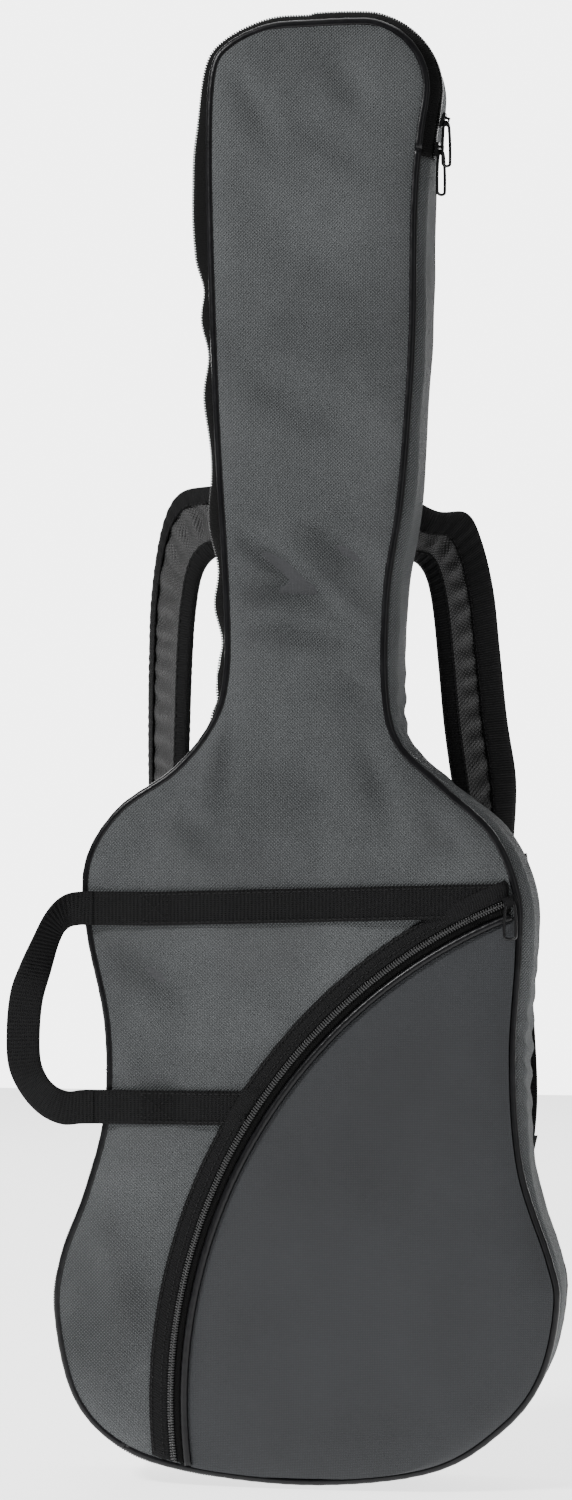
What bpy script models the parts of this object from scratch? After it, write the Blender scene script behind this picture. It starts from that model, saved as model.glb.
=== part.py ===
"""Padded gig bag for an electric guitar, standing upright, front towards -Y.

Points are given as (x, z) in the bag's own frame: x to the right, z up from the bag's lowest point,
y = 0 on the back panel and y = -DEPTH on the front panel. An empty lifts the whole bag into place, so
that the world's origin is the rest point on the back panel.
"""

import math

import bpy
import bmesh
from mathutils import Matrix, Vector

NAME = "gig_bag"
REST_HEIGHT = 0.33       # of the world's origin above the bag's lowest point
DEPTH = 0.075
FABRIC = 0.001
FOAM = 0.006
LINING = 0.0006
GAP = 0.0004             # between pieces that touch
PIPING = 0.00275         # radius
SEAM = PIPING + 0.0006   # from the piping's centre to the panel that it edges
FOLD_Y = -DEPTH - 0.0022 # the flap folds about its outermost layer
WEBBING = 0.0236
WEB_THICK = 0.0015

# Gusset: rises over RISE behind the front piping, stays level, falls before the rear piping
BAND_FRONT = -DEPTH + 0.0064
BAND_CREST = -DEPTH + 0.0150
BAND_FALL = -0.0150
BAND_REAR = -0.0060
BULGE_NECK = 0.009
BULGE_BODY = 0.004
CHEST = (0.500, 0.560)   # heights between which the bulge changes
COIL_FRONT = (-DEPTH + 0.0160, -DEPTH + 0.0180)
COIL_REAR = (-DEPTH + 0.0182, -DEPTH + 0.0202)
TAPE_REAR = (-DEPTH + 0.0206, -DEPTH + 0.0244)

# Head: the corner that the upper slider runs round
CORNER = (0.036, 0.967)
CORNER_RADIUS = 0.0465

# Piping's line, clockwise as seen from the front, from the head's right side to its left side
RIGHT_SIDE = [
    (0.0778, 0.9327), (0.0740, 0.885), (0.0723, 0.788), (0.0646, 0.685), (0.0549, 0.619), (0.0535, 0.552),
    (0.0626, 0.513), (0.0931, 0.483), (0.1286, 0.450), (0.1453, 0.409), (0.1460, 0.367), (0.1418, 0.295),
    (0.1473, 0.220), (0.1675, 0.157), (0.1724, 0.1265), (0.1619, 0.079), (0.1355, 0.043),
    (0.0869, 0.0125),
]
LEFT_SIDE = [
    (0.0035, 0.0014), (-0.0827, 0.0083), (-0.1320, 0.0243), (-0.1633, 0.057), (-0.1765, 0.1126),
    (-0.1724, 0.153), (-0.1550, 0.200), (-0.1410, 0.255), (-0.1410, 0.318), (-0.1536, 0.3816),
    (-0.1550, 0.429), (-0.1327, 0.466), (-0.0938, 0.4935), (-0.0681, 0.524), (-0.0570, 0.557),
    (-0.0563, 0.613), (-0.0626, 0.724), (-0.0667, 0.828), (-0.0688, 0.926), (-0.0660, 0.981),
    (-0.0542, 0.9994), (-0.0278, 1.011), (0.0000, 1.0130),
]
ZIP_TOP = (0.0766, 0.920)
ZIP_BOTTOM = (-0.0375, 0.003)
FOLD_TOP = (0.0763, 0.920)
FOLD_BOTTOM = (-0.1350, 0.000)

# Pocket: arcs about one centre
POCKET = (0.2794, 0.0556)
POCKET_RADIUS = 0.3753
POCKET_TAPE = 0.0150     # width of the tape outside the coil
POCKET_INNER = 0.0068    # width of the tape inside it

FABRIC_GREY = (0.105, 0.110, 0.108)
POCKET_GREY = (0.070, 0.072, 0.074)
BLACK = (0.012, 0.012, 0.013)
LINING_GREY = (0.045, 0.045, 0.048)
FOAM_GREY = (0.16, 0.16, 0.17)
STEEL = (0.10, 0.10, 0.105)


# ---------------------------------------------------------------- scene, materials, placing

def clear_scene():
    for old in list(bpy.data.objects):
        bpy.data.objects.remove(old, do_unlink=True)


def collection(name, hidden=False):
    made = bpy.data.collections.new(name)
    bpy.context.scene.collection.children.link(made)
    made.hide_render = hidden
    return made


def material(name, colour, roughness=0.8, metallic=0.0):
    made = bpy.data.materials.new(name)
    made.use_nodes = True
    shader = made.node_tree.nodes["Principled BSDF"]
    shader.inputs["Base Color"].default_value = (*colour, 1.0)
    shader.inputs["Roughness"].default_value = roughness
    shader.inputs["Metallic"].default_value = metallic
    return made


def place(obj, look, parent=None, home=None):
    """Link the object into the bag's collection, give it its material and its parent."""
    (home or BAG).objects.link(obj)
    obj.data.materials.append(material(obj.name, *look))
    obj.parent = parent or FRAME
    if parent:
        obj.matrix_parent_inverse = Matrix.Translation(parent.location).inverted()
    return obj


def empty(name, x, y, z):
    made = bpy.data.objects.new(name, None)
    BAG.objects.link(made)
    made.parent = FRAME
    made.location = (x, y, z)
    return made


# ---------------------------------------------------------------- outlines

def rounded(points, closed=False, steps=6):
    """Points of a smooth curve through the given ones, of any dimension."""
    known = [Vector(point) for point in points]
    count = len(known)
    spans = count if closed else count - 1
    line = []
    for i in range(spans):
        a, b, c, d = (
            known[(i + k) % count] if closed else known[min(max(i + k, 0), count - 1)]
            for k in (-1, 0, 1, 2)
        )
        for k in range(steps):
            t = k / steps
            line.append(
                b + (c - a) * (0.5 * t)
                + (a * 2 - b * 5 + c * 4 - d) * (0.5 * t * t)
                + (b * 3 - a - c * 3 + d) * (0.5 * t ** 3)
            )
    if not closed:
        line.append(known[-1])
    return line


def thinned(line, tolerance):
    """The fewest of the points that keep the line within the tolerance."""
    first, last = line[0], line[-1]
    chord = last - first
    far, worst = 0, tolerance
    for i, point in enumerate(line[1:-1], 1):
        along = max(0.0, min(1.0, (point - first).dot(chord) / max(chord.length_squared, 1e-12)))
        off = (point - first - chord * along).length
        if off > worst:
            far, worst = i, off
    if not far:
        return [first, last]
    return thinned(line[:far + 1], tolerance)[:-1] + thinned(line[far:], tolerance)


def normal(a, b):
    """Outward normal of a piece of outline that runs clockwise."""
    along = (b - a).normalized()
    return Vector((-along.y, along.x))


def mitre(before, here, after):
    """How far a corner moves when both its sides move outwards by one."""
    one, two = normal(before, here), normal(here, after)
    return (one + two) / (1.0 + one.dot(two))


def bag_ring():
    """The piping's closed line, as (point, mitre) pairs, clockwise from the zip's top end."""
    corner = [
        (
            CORNER[0] + CORNER_RADIUS * math.cos(math.radians(angle)),
            CORNER[1] + CORNER_RADIUS * math.sin(math.radians(angle)),
        )
        for angle in (88, 72, 56, 40, 24, 8, -8)
    ]
    line = rounded(RIGHT_SIDE + LEFT_SIDE + corner, closed=True)
    half = len(line) // 2
    points = thinned(line[:half + 1], 0.0005)[:-1] + thinned(line[half:] + line[:1], 0.0005)[:-1]
    count = len(points)
    return [
        (points[i], mitre(points[i - 1], points[i], points[(i + 1) % count]))
        for i in range(count)
    ]


def nearest(ring, place_at):
    """Position on the ring, as corner number plus fraction, nearest to a point."""
    target = Vector(place_at)
    best, found = 1e9, 0.0
    for i, (a, _) in enumerate(ring):
        b = ring[(i + 1) % len(ring)][0]
        t = max(0.0, min(1.0, (target - a).dot(b - a) / (b - a).length_squared))
        off = (a + (b - a) * t - target).length
        if off < best:
            best, found = off, i + t
    return found


def stretch(ring, start, end):
    """The part of the ring from one point clockwise to another."""
    count = len(ring)
    first, last = nearest(ring, start), nearest(ring, end)
    if last <= first:
        last += count

    def cut(position):
        i = int(position) % count
        a, b = ring[i][0], ring[(i + 1) % count][0]
        return a + (b - a) * (position - int(position)), normal(a, b)

    middle = [ring[i % count] for i in range(int(first) + 1, math.ceil(last))]
    return [cut(first)] + middle + [cut(last)]


def shortened(stations, amount):
    """The same stretch with its two ends drawn back."""
    line = list(stations)
    for _ in range(2):
        a, b = line[0][0], line[1][0]
        if (b - a).length < amount * 1.5:
            line = line[1:]
            a, b = line[0][0], line[1][0]
        line[0] = (a + (b - a).normalized() * amount, normal(a, b) if _ == 0 else -normal(a, b))
        line.reverse()
    return line


def inset(ring, amount):
    return [point - outward * amount for point, outward in ring]


def side_of_fold(point, shift=0.0):
    """Distance to the right of the fold line."""
    top, bottom = Vector(FOLD_TOP), Vector(FOLD_BOTTOM)
    across = Vector((top.y - bottom.y, bottom.x - top.x)).normalized()
    return (point - bottom).dot(across) - shift


def clipped(outline, distance):
    """The part of a closed outline where distance(point) is positive."""
    kept = []
    for i, b in enumerate(outline):
        a = outline[i - 1]
        da, db = distance(a), distance(b)
        if (da > 0) != (db > 0):
            kept.append(a + (b - a) * (da / (da - db)))
        if db > 0:
            kept.append(b)
    return kept


def bulge(height):
    share = max(0.0, min(1.0, (height - CHEST[0]) / (CHEST[1] - CHEST[0])))
    return BULGE_BODY + (BULGE_NECK - BULGE_BODY) * share * share * (3 - 2 * share)


def crest(y):
    """Share of the bulge that the gusset has at a depth."""
    rise = (y - BAND_FRONT) / (BAND_CREST - BAND_FRONT)
    fall = (BAND_REAR - y) / (BAND_REAR - BAND_FALL)
    return max(0.0, min(1.0, rise, fall))


# ---------------------------------------------------------------- kinds of piece

def surface(name, rows, thickness, look, parent=None, closed=False, offset=-1.0):
    """An open surface through rows of points, thickened to a shell."""
    mesh = bpy.data.meshes.new(name)
    shape = bmesh.new()
    grid = [[shape.verts.new(point) for point in row] for row in rows]
    for a, b in zip(grid, grid[1:] + (grid[:1] if closed else [])):
        for k in range(len(a) - 1):
            shape.faces.new((a[k], b[k], b[k + 1], a[k + 1]))
    shape.to_mesh(mesh)
    shape.free()
    obj = place(bpy.data.objects.new(name, mesh), look, parent)
    shell = obj.modifiers.new("Thickness", "SOLIDIFY")
    shell.thickness = thickness
    shell.offset = offset
    shell.use_even_offset = True
    return obj


def band(name, stations, depths, inward, thickness, look, parent=None, closed=False, ramp=True):
    """A strip of the gusset between depths, a distance inside its outer face."""
    rows = []
    for point, outward in stations:
        row = []
        for y in depths:
            out = bulge(point.y) * (crest(y) if ramp else 1.0) - inward
            edge = point + outward * out
            row.append((edge.x, y, edge.y))
        rows.append(row)
    return surface(name, rows, thickness, look, parent, closed)


def plate(name, outlines, y_front, thickness, look, parent=None):
    """A flat sheet in the plane of the front, from a closed outline and any holes."""
    curve = bpy.data.curves.new(name, "CURVE")
    curve.dimensions = "2D"
    curve.fill_mode = "BOTH"
    curve.extrude = thickness / 2
    for outline in outlines:
        spline = curve.splines.new("POLY")
        spline.points.add(len(outline) - 1)
        for point, (x, z) in zip(spline.points, outline):
            point.co = (x, z, 0, 1)
        spline.use_cyclic_u = True
    obj = place(bpy.data.objects.new(name, curve), look, parent)
    obj.location.y = y_front + thickness / 2
    obj.rotation_euler.x = math.pi / 2
    return obj


def cordlike(name, points, radius, look, parent=None, closed=False):
    """A tube along points (x, y, z)."""
    curve = bpy.data.curves.new(name, "CURVE")
    curve.dimensions = "3D"
    curve.bevel_depth = radius
    curve.bevel_resolution = 1
    curve.use_fill_caps = not closed
    spline = curve.splines.new("POLY")
    spline.points.add(len(points) - 1)
    for point, (x, y, z) in zip(spline.points, points):
        point.co = (x, y, z, 1)
    spline.use_cyclic_u = closed
    return place(bpy.data.objects.new(name, curve), look, parent)


def ribbon(name, edges, thickness, look, parent=None, lift=0.0, trim=(0.0, 0.0)):
    """A strap between two edge lines; lift moves it off its middle face, trim draws its edges in."""
    rows = []
    for i, (left, right) in enumerate(edges):
        before, after = edges[max(i - 1, 0)], edges[min(i + 1, len(edges) - 1)]
        along = (after[0] + after[1] - before[0] - before[1]).normalized()
        across = (right - left).normalized()
        face = across.cross(along).normalized()
        shift = face * lift
        rows.append((left + across * trim[0] + shift, right - across * trim[1] + shift))
    return surface(name, rows, thickness, look, parent, offset=0.0)


def strap_edges(left, right, count):
    """Pairs of points on two smooth edge lines, evenly numbered."""
    a, b = rounded(left, steps=count), rounded(right, steps=count)
    return list(zip(a, b))


def block(name, size, centre, cutter_of=None):
    """A box; as a cutter it goes to the hidden collection with the object that it works on."""
    bpy.ops.mesh.primitive_cube_add(size=1.0)
    obj = bpy.context.object
    obj.name = name
    for vertex in obj.data.vertices:
        vertex.co = Vector(vertex.co[k] * size[k] + centre[k] for k in range(3))
    for home in list(obj.users_collection):
        home.objects.unlink(obj)
    if cutter_of:
        CUTTERS.objects.link(obj)
        obj.display_type = "WIRE"
        obj.parent = cutter_of
    return obj


def join(obj, other, operation):
    step = obj.modifiers.new(other.name, "BOOLEAN")
    step.operation = operation
    step.solver = "EXACT"
    step.object = other


def turned_onto(obj, along, outward, position):
    """Stand an object, made with its track on X and its back down, on a track."""
    side = outward.cross(along)
    turn = Matrix((along, side, outward)).transposed().to_4x4()
    obj.matrix_basis = Matrix.Translation(position) @ turn


# Slider, made flat: track on X, width on Y, height on Z
SLIDER_LENGTH = 0.0100
SLIDER_WIDTH = 0.0080
SLIDER_PLATE = 0.0024
BRIDGE_LENGTH = 0.0064
BRIDGE_WIDTH = 0.0026
BRIDGE_TOP = 0.0058
EYE_LENGTH = 0.0030
EYE_LOW = 0.0028
EYE_HIGH = 0.0048
PULL_WIDTH = 0.0074
PULL_BAR = 0.0012
PULL_WIRE = 0.0018
POST_TOP = 0.0068        # the pocket's slider has a post with a cap in place of a bridge
POST_CAP = 0.0052
POST_PULL = 0.0048       # height of the pull on the post


def slider(name, along, outward, position, parent):
    """A slider with a bridge, which its pull's bar goes through."""
    body = block(name, (SLIDER_LENGTH, SLIDER_WIDTH, SLIDER_PLATE), (0, 0, SLIDER_PLATE / 2))
    bridge_height = BRIDGE_TOP - SLIDER_PLATE / 2
    bridge = block(
        name + "_bridge",
        (BRIDGE_LENGTH, BRIDGE_WIDTH, bridge_height),
        (0, 0, BRIDGE_TOP - bridge_height / 2),
        cutter_of=body,
    )
    eye = block(
        name + "_eye",
        (EYE_LENGTH, BRIDGE_WIDTH * 2, EYE_HIGH - EYE_LOW),
        (0, 0, (EYE_LOW + EYE_HIGH) / 2),
        cutter_of=body,
    )
    join(body, bridge, "UNION")
    join(body, eye, "DIFFERENCE")
    place(body, (BLACK, 0.35, 0.6), parent)
    turned_onto(body, along, outward, position)
    return body


def post_slider(name, along, outward, position, parent):
    """A slider with a capped post, which its pull turns on."""
    body = block(name, (SLIDER_LENGTH, SLIDER_WIDTH, SLIDER_PLATE), (0, 0, SLIDER_PLATE / 2))
    foot = SLIDER_PLATE / 2
    post = block(
        name + "_post", (BRIDGE_WIDTH, BRIDGE_WIDTH, POST_TOP - foot - 0.0002),
        (0, 0, (POST_TOP - 0.0002 + foot) / 2), cutter_of=body,
    )
    cap = block(name + "_cap", (POST_CAP, POST_CAP, 0.001), (0, 0, POST_TOP - 0.0005), cutter_of=body)
    join(body, post, "UNION")
    join(body, cap, "UNION")
    place(body, (BLACK, 0.35, 0.6), parent)
    turned_onto(body, along, outward, position)
    return body


def pull(name, length, along, outward, position, parent, near=-PULL_BAR / 2):
    """A wire frame that starts at near, behind its own origin, which lies on its joint's axis."""
    outer, inner = PULL_WIDTH / 2, PULL_WIDTH / 2 - PULL_WIRE
    far = length
    curve = bpy.data.curves.new(name, "CURVE")
    curve.dimensions = "2D"
    curve.fill_mode = "BOTH"
    curve.extrude = PULL_BAR / 2
    bend = outer * 0.5
    shapes = (
        [
            (near, -outer), (far - bend, -outer), (far, -outer + bend),
            (far, outer - bend), (far - bend, outer), (near, outer),
        ],
        [(near + PULL_BAR, -inner), (far - PULL_WIRE, -inner), (far - PULL_WIRE, inner), (near + PULL_BAR, inner)],
    )
    for shape in shapes:
        spline = curve.splines.new("POLY")
        spline.points.add(len(shape) - 1)
        for point, (x, y) in zip(spline.points, shape):
            point.co = (x, y, 0, 1)
        spline.use_cyclic_u = True
    obj = place(bpy.data.objects.new(name, curve), (BLACK, 0.4, 0.5), parent)
    turned_onto(obj, along, outward, position)
    return obj


# ---------------------------------------------------------------- the bag

def build_back(ring):
    plate("back_outer", [inset(ring, SEAM)], -FABRIC, FABRIC, (FABRIC_GREY, 0.85))
    plate("back_foam", [inset(ring, SEAM + 0.003)], -FABRIC - GAP - FOAM, FOAM, (FOAM_GREY, 0.95))
    plate(
        "back_lining", [inset(ring, SEAM + 0.003)], -FABRIC - FOAM - GAP * 2 - LINING, LINING,
        (LINING_GREY, 0.8),
    )
    points = [(point.x, -PIPING - 0.0002, point.y) for point, _ in ring]
    cordlike("rear_piping", points, PIPING, (BLACK, 0.35), closed=True)


def build_gusset(ring):
    fabric = (FABRIC_GREY, 0.85)
    plain = stretch(ring, ZIP_TOP, ZIP_BOTTOM)
    zipped = shortened(stretch(ring, ZIP_BOTTOM, ZIP_TOP), 0.0006)
    band("gusset_plain", plain, (BAND_FRONT, BAND_CREST, BAND_FALL, BAND_REAR), 0.0, FABRIC, fabric)
    band(
        "gusset_zip_strip", zipped, (TAPE_REAR[1] + GAP, BAND_FALL, BAND_REAR), 0.0, FABRIC, fabric,
    )
    band("zip_tape_rear", zipped, TAPE_REAR, 0.0, FABRIC, (BLACK, 0.75))
    band("zip_coil_rear", zipped, COIL_REAR, -0.0008, 0.0018, (BLACK, 0.45))
    band(
        "gusset_foam", ring, (-DEPTH + 0.0202, BAND_FALL - 0.0005), 0.0018, FOAM, (FOAM_GREY, 0.95),
        closed=True, ramp=False,
    )
    band(
        "gusset_lining", ring, (-DEPTH + 0.0202, -0.0106), 0.0018 + FOAM + 0.0006, LINING,
        (LINING_GREY, 0.8), closed=True, ramp=False,
    )


def arc_corner(angle):
    """Point of the piping's line on the head's corner."""
    turn = math.radians(angle)
    return (CORNER[0] + CORNER_RADIUS * math.cos(turn), CORNER[1] + CORNER_RADIUS * math.sin(turn))


def fold_crossing(ring, low):
    """Where the fold line crosses the piping's line, at the bag's bottom or at its head."""
    crossings = []
    for i, (a, _) in enumerate(ring):
        b = ring[(i + 1) % len(ring)][0]
        da, db = side_of_fold(a), side_of_fold(b)
        if (da > 0) != (db > 0):
            crossings.append(a + (b - a) * (da / (da - db)))
    return sorted(crossings, key=lambda point: point.y)[0 if low else -1]


def build_front(ring, flap):
    fabric, foam, lining = (FABRIC_GREY, 0.85), (FOAM_GREY, 0.95), (LINING_GREY, 0.8)
    low, high = fold_crossing(ring, True), fold_crossing(ring, False)
    layers = (
        ("outer", SEAM, -DEPTH, FABRIC, fabric),
        ("foam", SEAM + 0.003, -DEPTH + FABRIC + GAP, FOAM, foam),
        ("lining", SEAM + 0.003, -DEPTH + FABRIC + FOAM + GAP * 2, LINING, lining),
    )
    for layer, amount, y_front, thickness, look in layers:
        whole = inset(ring, amount)
        moving = clipped(whole, lambda point: -side_of_fold(point, -GAP))
        staying = clipped(whole, lambda point: side_of_fold(point, GAP))
        staying = clipped(staying, lambda point: high.y - 0.045 - point.y)
        plate("flap_" + layer, [moving], y_front, thickness, look, flap)
        plate("front_" + layer, [staying], y_front, thickness, look)

    zipped = stretch(ring, low, high)
    plain = stretch(ring, high, low)
    y_piping = -DEPTH + PIPING
    for name, stations, parent in (("flap_piping", zipped, flap), ("front_piping", plain, None)):
        points = [(point.x, y_piping, point.y) for point, _ in shortened(stations, 0.0012)]
        cordlike(name, points, PIPING, (BLACK, 0.3), parent)

    moving = shortened(stretch(ring, low, arc_corner(15)), 0.0012)
    band("zip_tape_front", moving, (BAND_FRONT, BAND_CREST), 0.0, FABRIC, (BLACK, 0.75), flap)
    band("zip_coil_front", moving, COIL_FRONT, -0.0008, 0.0018, (BLACK, 0.45), flap)
    closed_depths = (BAND_FRONT, BAND_CREST, COIL_FRONT[1])
    top = shortened(stretch(ring, arc_corner(15), ZIP_TOP), 0.0006)
    bottom = shortened(stretch(ring, ZIP_BOTTOM, low), 0.0006)
    band("zip_closed_top", top, closed_depths, 0.0, FABRIC, (BLACK, 0.7))
    band("zip_closed_bottom", bottom, closed_depths, 0.0, FABRIC, (BLACK, 0.7))


def build_pocket(ring):
    """Flat pocket on the lower right: layers between circles about one centre."""
    centre = Vector(POCKET)
    y_front = -DEPTH - 0.0004

    def zone(edge):
        """The front panel's shape on the fixed side of the fold."""
        return clipped(inset(ring, edge), lambda point: side_of_fold(point, 0.0012))

    def inside(point, shape):
        """Whether a point lies inside a closed outline."""
        hit = False
        for i, b in enumerate(shape):
            a = shape[i - 1]
            if (a.y > point.y) != (b.y > point.y):
                if point.x < a.x + (b.x - a.x) * (point.y - a.y) / (b.y - a.y):
                    hit = not hit
        return hit

    def strip(name, outer, inner, height, look, edge=SEAM + 0.0006):
        """A curved strip between two circles, cut off inside the piping."""
        shape = zone(edge)
        pairs = []
        for angle in [a * 0.5 for a in range(170, 380)]:
            ray = Vector((math.cos(math.radians(angle)), math.sin(math.radians(angle))))
            if inside(centre + ray * outer, shape) and inside(centre + ray * inner, shape):
                pairs.append(ray)
        pairs = pairs[::6] + pairs[-1:]
        outline = [centre + ray * outer for ray in pairs]
        outline += [centre + ray * inner for ray in reversed(pairs)]
        return plate(name, [outline], y_front - height, height, look)

    strip("pocket_tape_outer", POCKET_RADIUS + POCKET_TAPE, POCKET_RADIUS + 0.0020, 0.0010, (BLACK, 0.75))
    strip("pocket_coil", POCKET_RADIUS + 0.0016, POCKET_RADIUS - 0.0016, 0.0016, (BLACK, 0.45))
    strip("pocket_tape_inner", POCKET_RADIUS - 0.0020, POCKET_RADIUS - POCKET_INNER, 0.0010, (BLACK, 0.75))

    inner = POCKET_RADIUS - POCKET_INNER - GAP - PIPING
    shape = zone(SEAM + PIPING)
    line = []
    for angle in [a * 0.5 for a in range(170, 380)]:
        ray = Vector((math.cos(math.radians(angle)), math.sin(math.radians(angle))))
        if inside(centre + ray * inner, shape):
            line.append(centre + ray * inner)
    line = line[::7] + line[-1:]
    points = [(point.x, -DEPTH - PIPING - GAP, point.y) for point in line]
    cordlike("pocket_piping", points, PIPING, (BLACK, 0.35))

    reach = inner - PIPING - GAP
    panel = inset(ring, SEAM + 0.0006)
    facets = [math.radians(angle) for angle in range(88, 200, 4)]
    for a, b in zip(facets, facets[1:]):
        middle = Vector((math.cos((a + b) / 2), math.sin((a + b) / 2)))
        flat = reach * math.cos((b - a) / 2)
        panel = clipped(panel, lambda point: flat - (point - centre).dot(middle))
    plate("pocket_panel", [panel], y_front - 0.0018, 0.0018, (POCKET_GREY, 0.7))


HANDLE_AXIS = (-0.1570, -DEPTH - 0.0013)
HANDLE_HIGH = 0.3985     # middle of the upper run
HANDLE_LOW = 0.2600      # middle of the lower run


def fold_x(height):
    """Where the fold line is at a height."""
    share = height / FOLD_TOP[1]
    return FOLD_BOTTOM[0] + (FOLD_TOP[0] - FOLD_BOTTOM[0]) * share


def build_handle(flap, handle):
    look = (BLACK, 0.6)
    y_front = -DEPTH - GAP - WEB_THICK
    half = WEBBING / 2
    start = HANDLE_AXIS[0] + 0.0006

    def run(name, left, right, height, parent=None):
        """A straight run of webbing; right is a function of height, for a slanting end."""
        outline = [
            (left(height - half), height - half),
            (left(height + half), height + half),
            (right(height + half), height + half),
            (right(height - half), height - half),
        ]
        plate(name, [outline], y_front, WEB_THICK, look, parent)

    def tape_x(height):
        """Outer edge of the pocket's tape."""
        radius = POCKET_RADIUS + POCKET_TAPE + 0.0012
        return POCKET[0] - math.sqrt(radius ** 2 - (height - POCKET[1]) ** 2)

    run("handle_run_upper", lambda z: start, lambda z: fold_x(z) - 0.0006, HANDLE_HIGH, flap)
    run("handle_run_lower", lambda z: start, lambda z: fold_x(z) - 0.0006, HANDLE_LOW, flap)
    run("handle_end_upper", lambda z: fold_x(z) + 0.0006, tape_x, HANDLE_HIGH)

    outer = [
        (0.0, 0.0118), (-0.0150, 0.0090), (-0.0300, -0.0130), (-0.0420, -0.0400),
        (-0.0540, -0.0660), (-0.0544, -0.1000), (-0.0500, -0.1170), (-0.0400, -0.1300),
        (-0.0230, -0.1450), (0.0, -0.1503),
    ]
    inner = [
        (0.0, -0.1267), (-0.0180, -0.1250), (-0.0285, -0.1170), (-0.0305, -0.1000), (-0.0310, -0.0640),
        (-0.0310, -0.0300), (-0.0260, -0.0180), (-0.0150, -0.0130), (0.0, -0.0118),
    ]
    left = HANDLE_AXIS[0] - 0.0006
    outline = thinned(rounded(outer, steps=4), 0.0004) + thinned(rounded(inner, steps=4), 0.0004)
    shape = [(left + point.x, HANDLE_HIGH + point.y) for point in outline]
    plate("handle_loop", [shape], y_front, WEB_THICK, look, handle)


# Shoulder straps: edge lines as (x, y, z), from the neck's back down to the ladder lock
STRAP_FOAM = 0.0060
STRAP_SKIN = 0.0010
BINDING = 0.0022
BINDING_GAP = 0.0014
STRAP_RIGHT = (
    [
        (0.052, 0.0100, 0.6880), (0.087, 0.0150, 0.6720), (0.1115, 0.0260, 0.6700), (0.1215, 0.0340, 0.6520),
        (0.1300, 0.0360, 0.6190), (0.1350, 0.0370, 0.5750), (0.1400, 0.0370, 0.5300),
        (0.1465, 0.0360, 0.4860), (0.1440, 0.0300, 0.4400),
    ],
    [
        (0.052, 0.0080, 0.6420), (0.066, 0.0090, 0.6400), (0.0770, 0.0120, 0.6400), (0.0850, 0.0130, 0.6290),
        (0.0905, 0.0130, 0.6080), (0.0950, 0.0130, 0.5690), (0.0990, 0.0130, 0.5260),
        (0.1050, 0.0130, 0.4830), (0.1130, 0.0120, 0.4360),
    ],
)
STRAP_LEFT = (
    [
        (-0.052, 0.0100, 0.6900), (-0.0800, 0.0180, 0.6900), (-0.1000, 0.0320, 0.6860),
        (-0.1110, 0.0400, 0.6650), (-0.1180, 0.0440, 0.6200), (-0.1195, 0.0450, 0.5760),
        (-0.1200, 0.0450, 0.5300), (-0.1200, 0.0440, 0.4860), (-0.1180, 0.0360, 0.4400),
    ],
    [
        (-0.052, 0.0080, 0.6440), (-0.0650, 0.0090, 0.6450), (-0.0780, 0.0110, 0.6440),
        (-0.0880, 0.0120, 0.6320), (-0.0930, 0.0120, 0.6050), (-0.0955, 0.0120, 0.5690),
        (-0.0975, 0.0120, 0.5260), (-0.1000, 0.0120, 0.4830), (-0.1020, 0.0120, 0.4360),
    ],
)
STRAP_TOP = (0.0480, 0.0060, 0.6640)
STRAP_BOTTOM = (0.1560, 0.0130, 0.2320)
LOCK_SIZE = (0.0310, 0.0052, 0.0270)


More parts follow.
